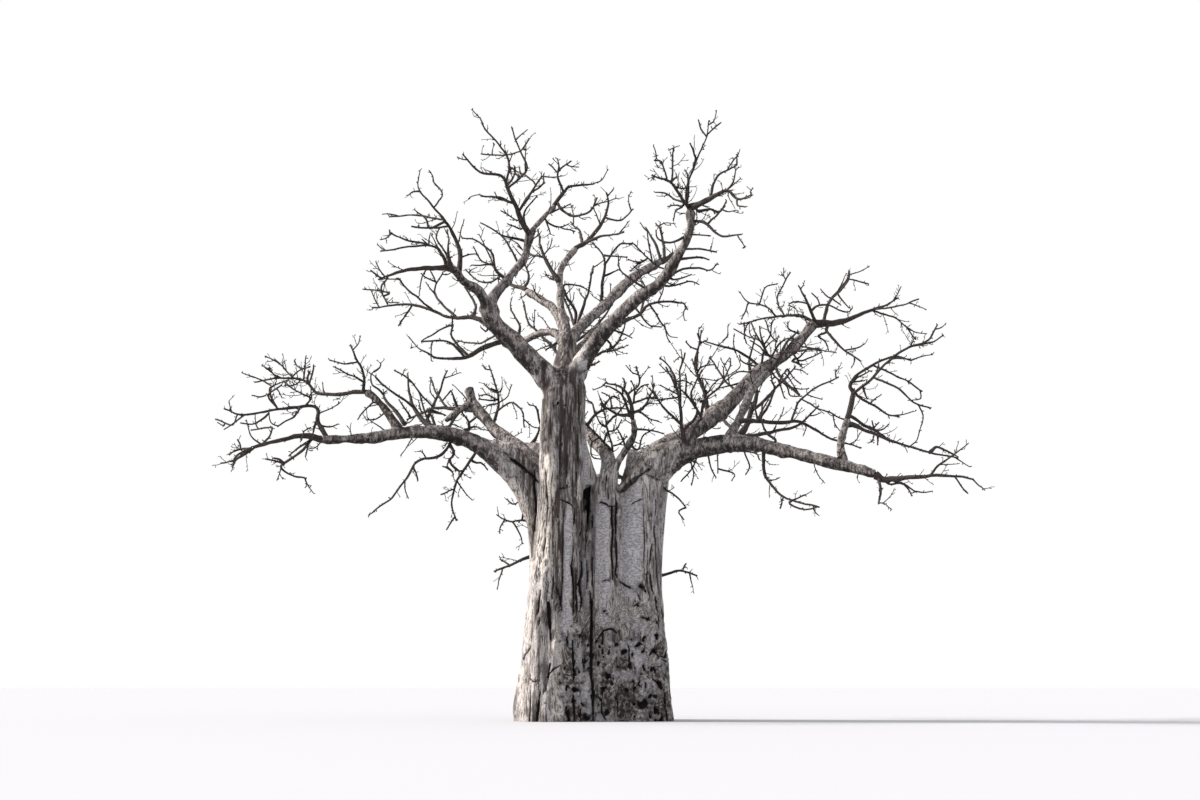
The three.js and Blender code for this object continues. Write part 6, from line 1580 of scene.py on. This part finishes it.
def knuckled(batch, seed):
    # Girth swells and narrows along a twig.
    rule = twigSettings
    return batch["radius"] * (1 + rule["knuckle"] * noise(batch["path"] / rule["knuckleSize"], seed))


def placedTwig(limb, bearer=None, slim=1.0):
    # One limb of a mass as a path of even steps, with its girth at each. One that goes on from a bough's
    # tip starts nearly as thick: girth + (bough's - girth) (1 - share) to the blend.
    rule = twigSettings
    shares = np.linspace(0, 1, max(rule["fewest"], int(limb["length"] / rule["step"])))
    path = wobbled(curveAt(limb["points"], shares))
    radius = rule["stout"] * slim * radiusOf(limb, shares)
    if bearer and slim == 1 and np.linalg.norm(limb["points"][0] - bearer["points"][-1]) < rule["joined"]:
        wide = rule["follow"] * radiusOf(bearer, 1.0)
        radius = radius + max(0, wide - radius[0]) * (1 - shares) ** rule["blend"]
    return {"path": path[None], "radius": radius[None]}


def smallLimb(girth, line, bearers, chance):
    # A small limb starts on the bearer whose axis is seen nearest to its root, and sways off in depth.
    axes = np.concatenate([seen(curveAt(limb["points"], np.linspace(0, 1, 41))) for limb in bearers])
    far = np.linalg.norm(axes[:, :2] - line[0], axis=1)
    root = axes[far.argmin()]
    line = np.vstack([root[:2], line[int(far.min() < twigSettings["snap"]):]])
    drift = np.cumsum(twigSettings["sway"] * (chance.random(len(line)) - 0.5)) * (np.arange(len(line)) > 0)
    points = place(np.column_stack([line, root[2] + drift]))
    return limbOf(points, (girth, min(girth, twigSettings["tip"])))


def growOn(batches, rule, chance):
    # Twigs from every path of the batches: at even spacing each leaves at an angle, rolled round from the
    # last, and bends twice on its way. Returns one batch of paths.
    found, shared = [], orderRule
    for batch in batches:
        path, wide = batch["path"], batch["radius"]
        total = np.linalg.norm(np.diff(path, axis=1), axis=-1).sum(1)
        dealt = crowding["dealt"] if rule["crowds"] else 1
        count = np.floor(total * (1 - rule["from"]) / rule["spacing"] * dealt).astype(int)
        if not count.sum():
            continue
        of = np.repeat(np.arange(len(path)), count)
        rank = np.arange(len(of)) - np.repeat(np.cumsum(count) - count, count)
        spot = rank + 1 - shared["placeDrift"] * chance.random(len(of))
        share = rule["from"] + (1 - rule["from"]) * spot / count[of]
        along = share * (path.shape[1] - 1)
        before = np.minimum(along.astype(int), path.shape[1] - 2)
        part = (along - before)[:, None]
        heading = unit(path[of, before + 1] - path[of, before])
        root = path[of, before] * (1 - part) + path[of, before + 1] * part
        source = wide[of, before] * (1 - part[:, 0]) + wide[of, before + 1] * part[:, 0]
        roll = chance.random(len(path))[of] * shared["turn"]
        roll = roll + rank * twigRule["roll"] + chance.random(len(of))
        side = unit(np.cross(twigRule["across"], heading))
        out = side * np.cos(roll)[:, None] + np.cross(heading, side) * np.sin(roll)[:, None]
        lean = (rule["lean"] + shared["leanDrift"] * (chance.random(len(of)) - 0.5))[:, None]
        toward = heading * np.cos(lean) + out * np.sin(lean)
        size = twigRule["shortest"] + shared["longer"] * chance.random(len(of)) ** shared["shortness"]
        length = (rule["length"] * size * (1 - rule["fade"] * share))[:, None]
        bends = [root]
        for stretch in shared["stretches"]:
            bends.append(bends[-1] + toward * length * stretch)
            toward = unit(toward + rule["crook"] * (chance.random((len(of), 3)) - 0.5) + [0, 0, rule["lift"]])
        shares = np.linspace(0, 1, rule["rings"])
        line = curveAt(np.stack(bends, 1), shares)
        girth = rule["girth"] * (shared["thinnest"] + shared["thicker"] * chance.random(len(of)))
        girth = np.minimum(girth, source * shared["stoutest"])
        radius = girth[:, None] / 2 * (1 + (rule["end"] - 1) * shares)
        found.append((line, radius))
    line = np.concatenate([paths for paths, wides in found])
    radius = np.concatenate([wides for paths, wides in found])
    keep = withinReach(line) & clearOfLimbs(line)
    if rule["crowds"]:
        keep &= chance.random(len(line)) < crowdedAt(line[:, 0])
    return {"path": line[keep], "radius": radius[keep]}


def crowdedAt(roots):
    # Chance that a twig stays: the usual one, and more round a crowded place or less round an airy one, by
    # exp(-(distance / radius)^2).
    spots, room = seen(roots)[:, :2], np.full(len(roots), crowding["stay"])
    for kind, more in (("crowded", crowding["more"]), ("airy", -crowding["more"])):
        for across, up, radius in crowding[kind]:
            room += more * np.exp(-((np.linalg.norm(spots - [across, up], axis=1) / radius) ** 2))
    return room


def withinReach(line):
    # Whether every ring of a twig lies in the box of the solids or within the margin round it.
    low, high = np.array(cadBox[0]) - twigSettings["margin"], np.array(cadBox[1]) + twigSettings["margin"]
    return ((line > low) & (line < high)).all((1, 2))


def clearOfLimbs(line):
    # Whether the middle and the end of a twig stay out of the trunk and the boughs.
    solid, batch = spans[spans[:, 8] == bearerMark], twigSettings["batch"]
    clear = np.ones(len(line), bool)
    for ring in (line.shape[1] // 2, line.shape[1] - 1):
        for first in range(0, len(line), batch):
            room = roomBeside(line[first:first + batch, ring, None], solid)
            clear[first:first + batch] &= (room > solid[:, 6]).all(1)
    return clear


def swollen(batch):
    # Shoots and spurs end in a blunt swelling: girth x (1 + swell) near the tip.
    rule, shares = twigSettings, np.linspace(0, 1, batch["path"].shape[1])
    near = np.exp(-(((shares - rule["swellAt"]) / rule["swellLong"]) ** 2))
    return batch["radius"] * (1 + rule["swell"] * near)


def buildTwigs(limbBark, shootBark):
    # Three pieces to a group: its limbs, the finer twigs that grow on from them, and their spurs.
    rule, seeds = twigSettings, twigSettings["seeds"]
    shares = np.linspace(0, 1, rule["boughRings"])
    for seed, (name, starts) in enumerate(rule["groups"].items(), seeds["growth"]):
        chance = np.random.default_rng(seed)
        members = [m for m, mass in enumerate(masses) if mass["name"].startswith(starts)]
        stood = [masses[m]["name"] for m in members]
        bearing = [limbs[b] for b in sorted({masses[m]["on"] for m in members} - {"trunk"})]
        grown = [
            (limb, limbs.get(masses[m]["on"]), rule["slim"].get((masses[m]["name"], k), 1.0))
            for m in members for k, limb in enumerate(massLimbs[m])
        ]
        bearers = bearing + [limb for limb, bearer, slim in grown]
        first = len(bearers)
        for girth, *line in smallLimbs[name]:
            line = np.cumsum(np.reshape(line, (-1, 2)), 0)
            bearers.append(smallLimb(girth / 100, line / 100, bearers, chance))
        placed = [placedTwig(*each) for each in grown] + [placedTwig(limb) for limb in bearers[first:]]
        onBoughs = [
            {"path": curveAt(limb["points"], shares)[None], "radius": radiusOf(limb, shares)[None]}
            for limb in bearing
        ]
        side = growOn(onBoughs, boughTwigs, chance)
        fine = growOn(placed + [side], fineTwigs, chance)
        tips = growOn(placed + [side, fine], shoots, chance)
        knobs = growOn(placed + [side, fine, tips], spurs, chance)
        addTwigPiece(name, [
            tubes(twig["path"], knuckled(twig, seeds["limbs"]), rule["sides"]) for twig in placed
        ], limbBark, stood)
        addTwigPiece(name + "Fine", [
            tubes(side["path"], knuckled(side, seeds["side"]), boughTwigs["sides"]),
            tubes(fine["path"], fine["radius"], fineTwigs["sides"]),
            tubes(tips["path"], swollen(tips), shoots["sides"]),
        ], shootBark, stood)
        addTwigPiece(name + "Spurs", [tubes(knobs["path"], swollen(knobs), spurs["sides"])], shootBark, stood)


def addTwigPiece(name, skins, materials, stood):
    # One piece of twigs, whose shade changes from spray to spray.
    corners, faces = together(skins)
    spray = np.floor(corners[faces[:, 0]] / twigSettings["spray"])
    slots = (cellChance(spray, twigSettings["seeds"]["sprays"]) * len(materials)).astype(int)
    pieceOf(name, (corners, faces), materials, stood, slots=slots)


# Camera, light and floor.

stageSettings = {
    "aimUp": 9.6, "lens": 80.0, "sensor": 36.0, "farthest": 1000.0,
    "floorSize": 240.0, "floor": "#b0b1b6", "floorRough": 0.95, "floorShine": 0.1,
    "sky": "#ffffff", "skyStrength": 1.0,
    "keyFrom": (-0.85, 0.1, 0.5), "keyPower": 7.5, "keyAngle": 9.0, "key": "#fff8f0",
}


def addCamera():
    rule = stageSettings
    data = bpy.data.cameras.new("camera")
    data.lens, data.sensor_width, data.clip_end = rule["lens"], rule["sensor"], rule["farthest"]
    made = bpy.data.objects.new("camera", data)
    made.location = (eye["across"], -eye["distance"], eye["height"])
    aim = Vector((eye["across"], 0, rule["aimUp"]))
    made.rotation_euler = (aim - made.location).to_track_quat("-Z", "Y").to_euler()
    bpy.context.scene.collection.objects.link(made)
    bpy.context.scene.camera = made


def addLight():
    rule = stageSettings
    world = bpy.data.worlds.new("sky")
    bpy.context.scene.world = world
    world.use_nodes = True
    sky = world.node_tree.nodes["Background"]
    sky.inputs["Color"].default_value = linear(rule["sky"])
    sky.inputs["Strength"].default_value = rule["skyStrength"]
    data = bpy.data.lights.new("key", "SUN")
    data.energy, data.angle = rule["keyPower"], math.radians(rule["keyAngle"])
    data.color = linear(rule["key"])[:3]
    made = bpy.data.objects.new("key", data)
    made.rotation_euler = Vector(rule["keyFrom"]).to_track_quat("Z", "Y").to_euler()
    bpy.context.scene.collection.objects.link(made)


def addFloor():
    rule, half = stageSettings, stageSettings["floorSize"] / 2
    corners = half * np.array([[-1, -1, 0], [1, -1, 0], [1, 1, 0], [-1, 1, 0.0]])
    made = meshOf("floor", corners, np.array([[0, 1, 2, 3]]))
    material, tree, shader, spot = startMaterial("matt_floor", rule["floorRough"], rule["floorShine"])
    shader.inputs["Base Color"].default_value = linear(rule["floor"])
    made.data.materials.append(material)


addCamera()
addLight()
addFloor()
bpy.context.scene.view_settings.view_transform = "Standard"
print("stage ready")

buildTrunk(barkMaterial("trunk"))
print("trunk ready")
buildBoughs(barkMaterial("bough"))
print("boughs ready")
buildTwigs(twigMaterials("limb"), twigMaterials("shoot"))
print("twigs ready")
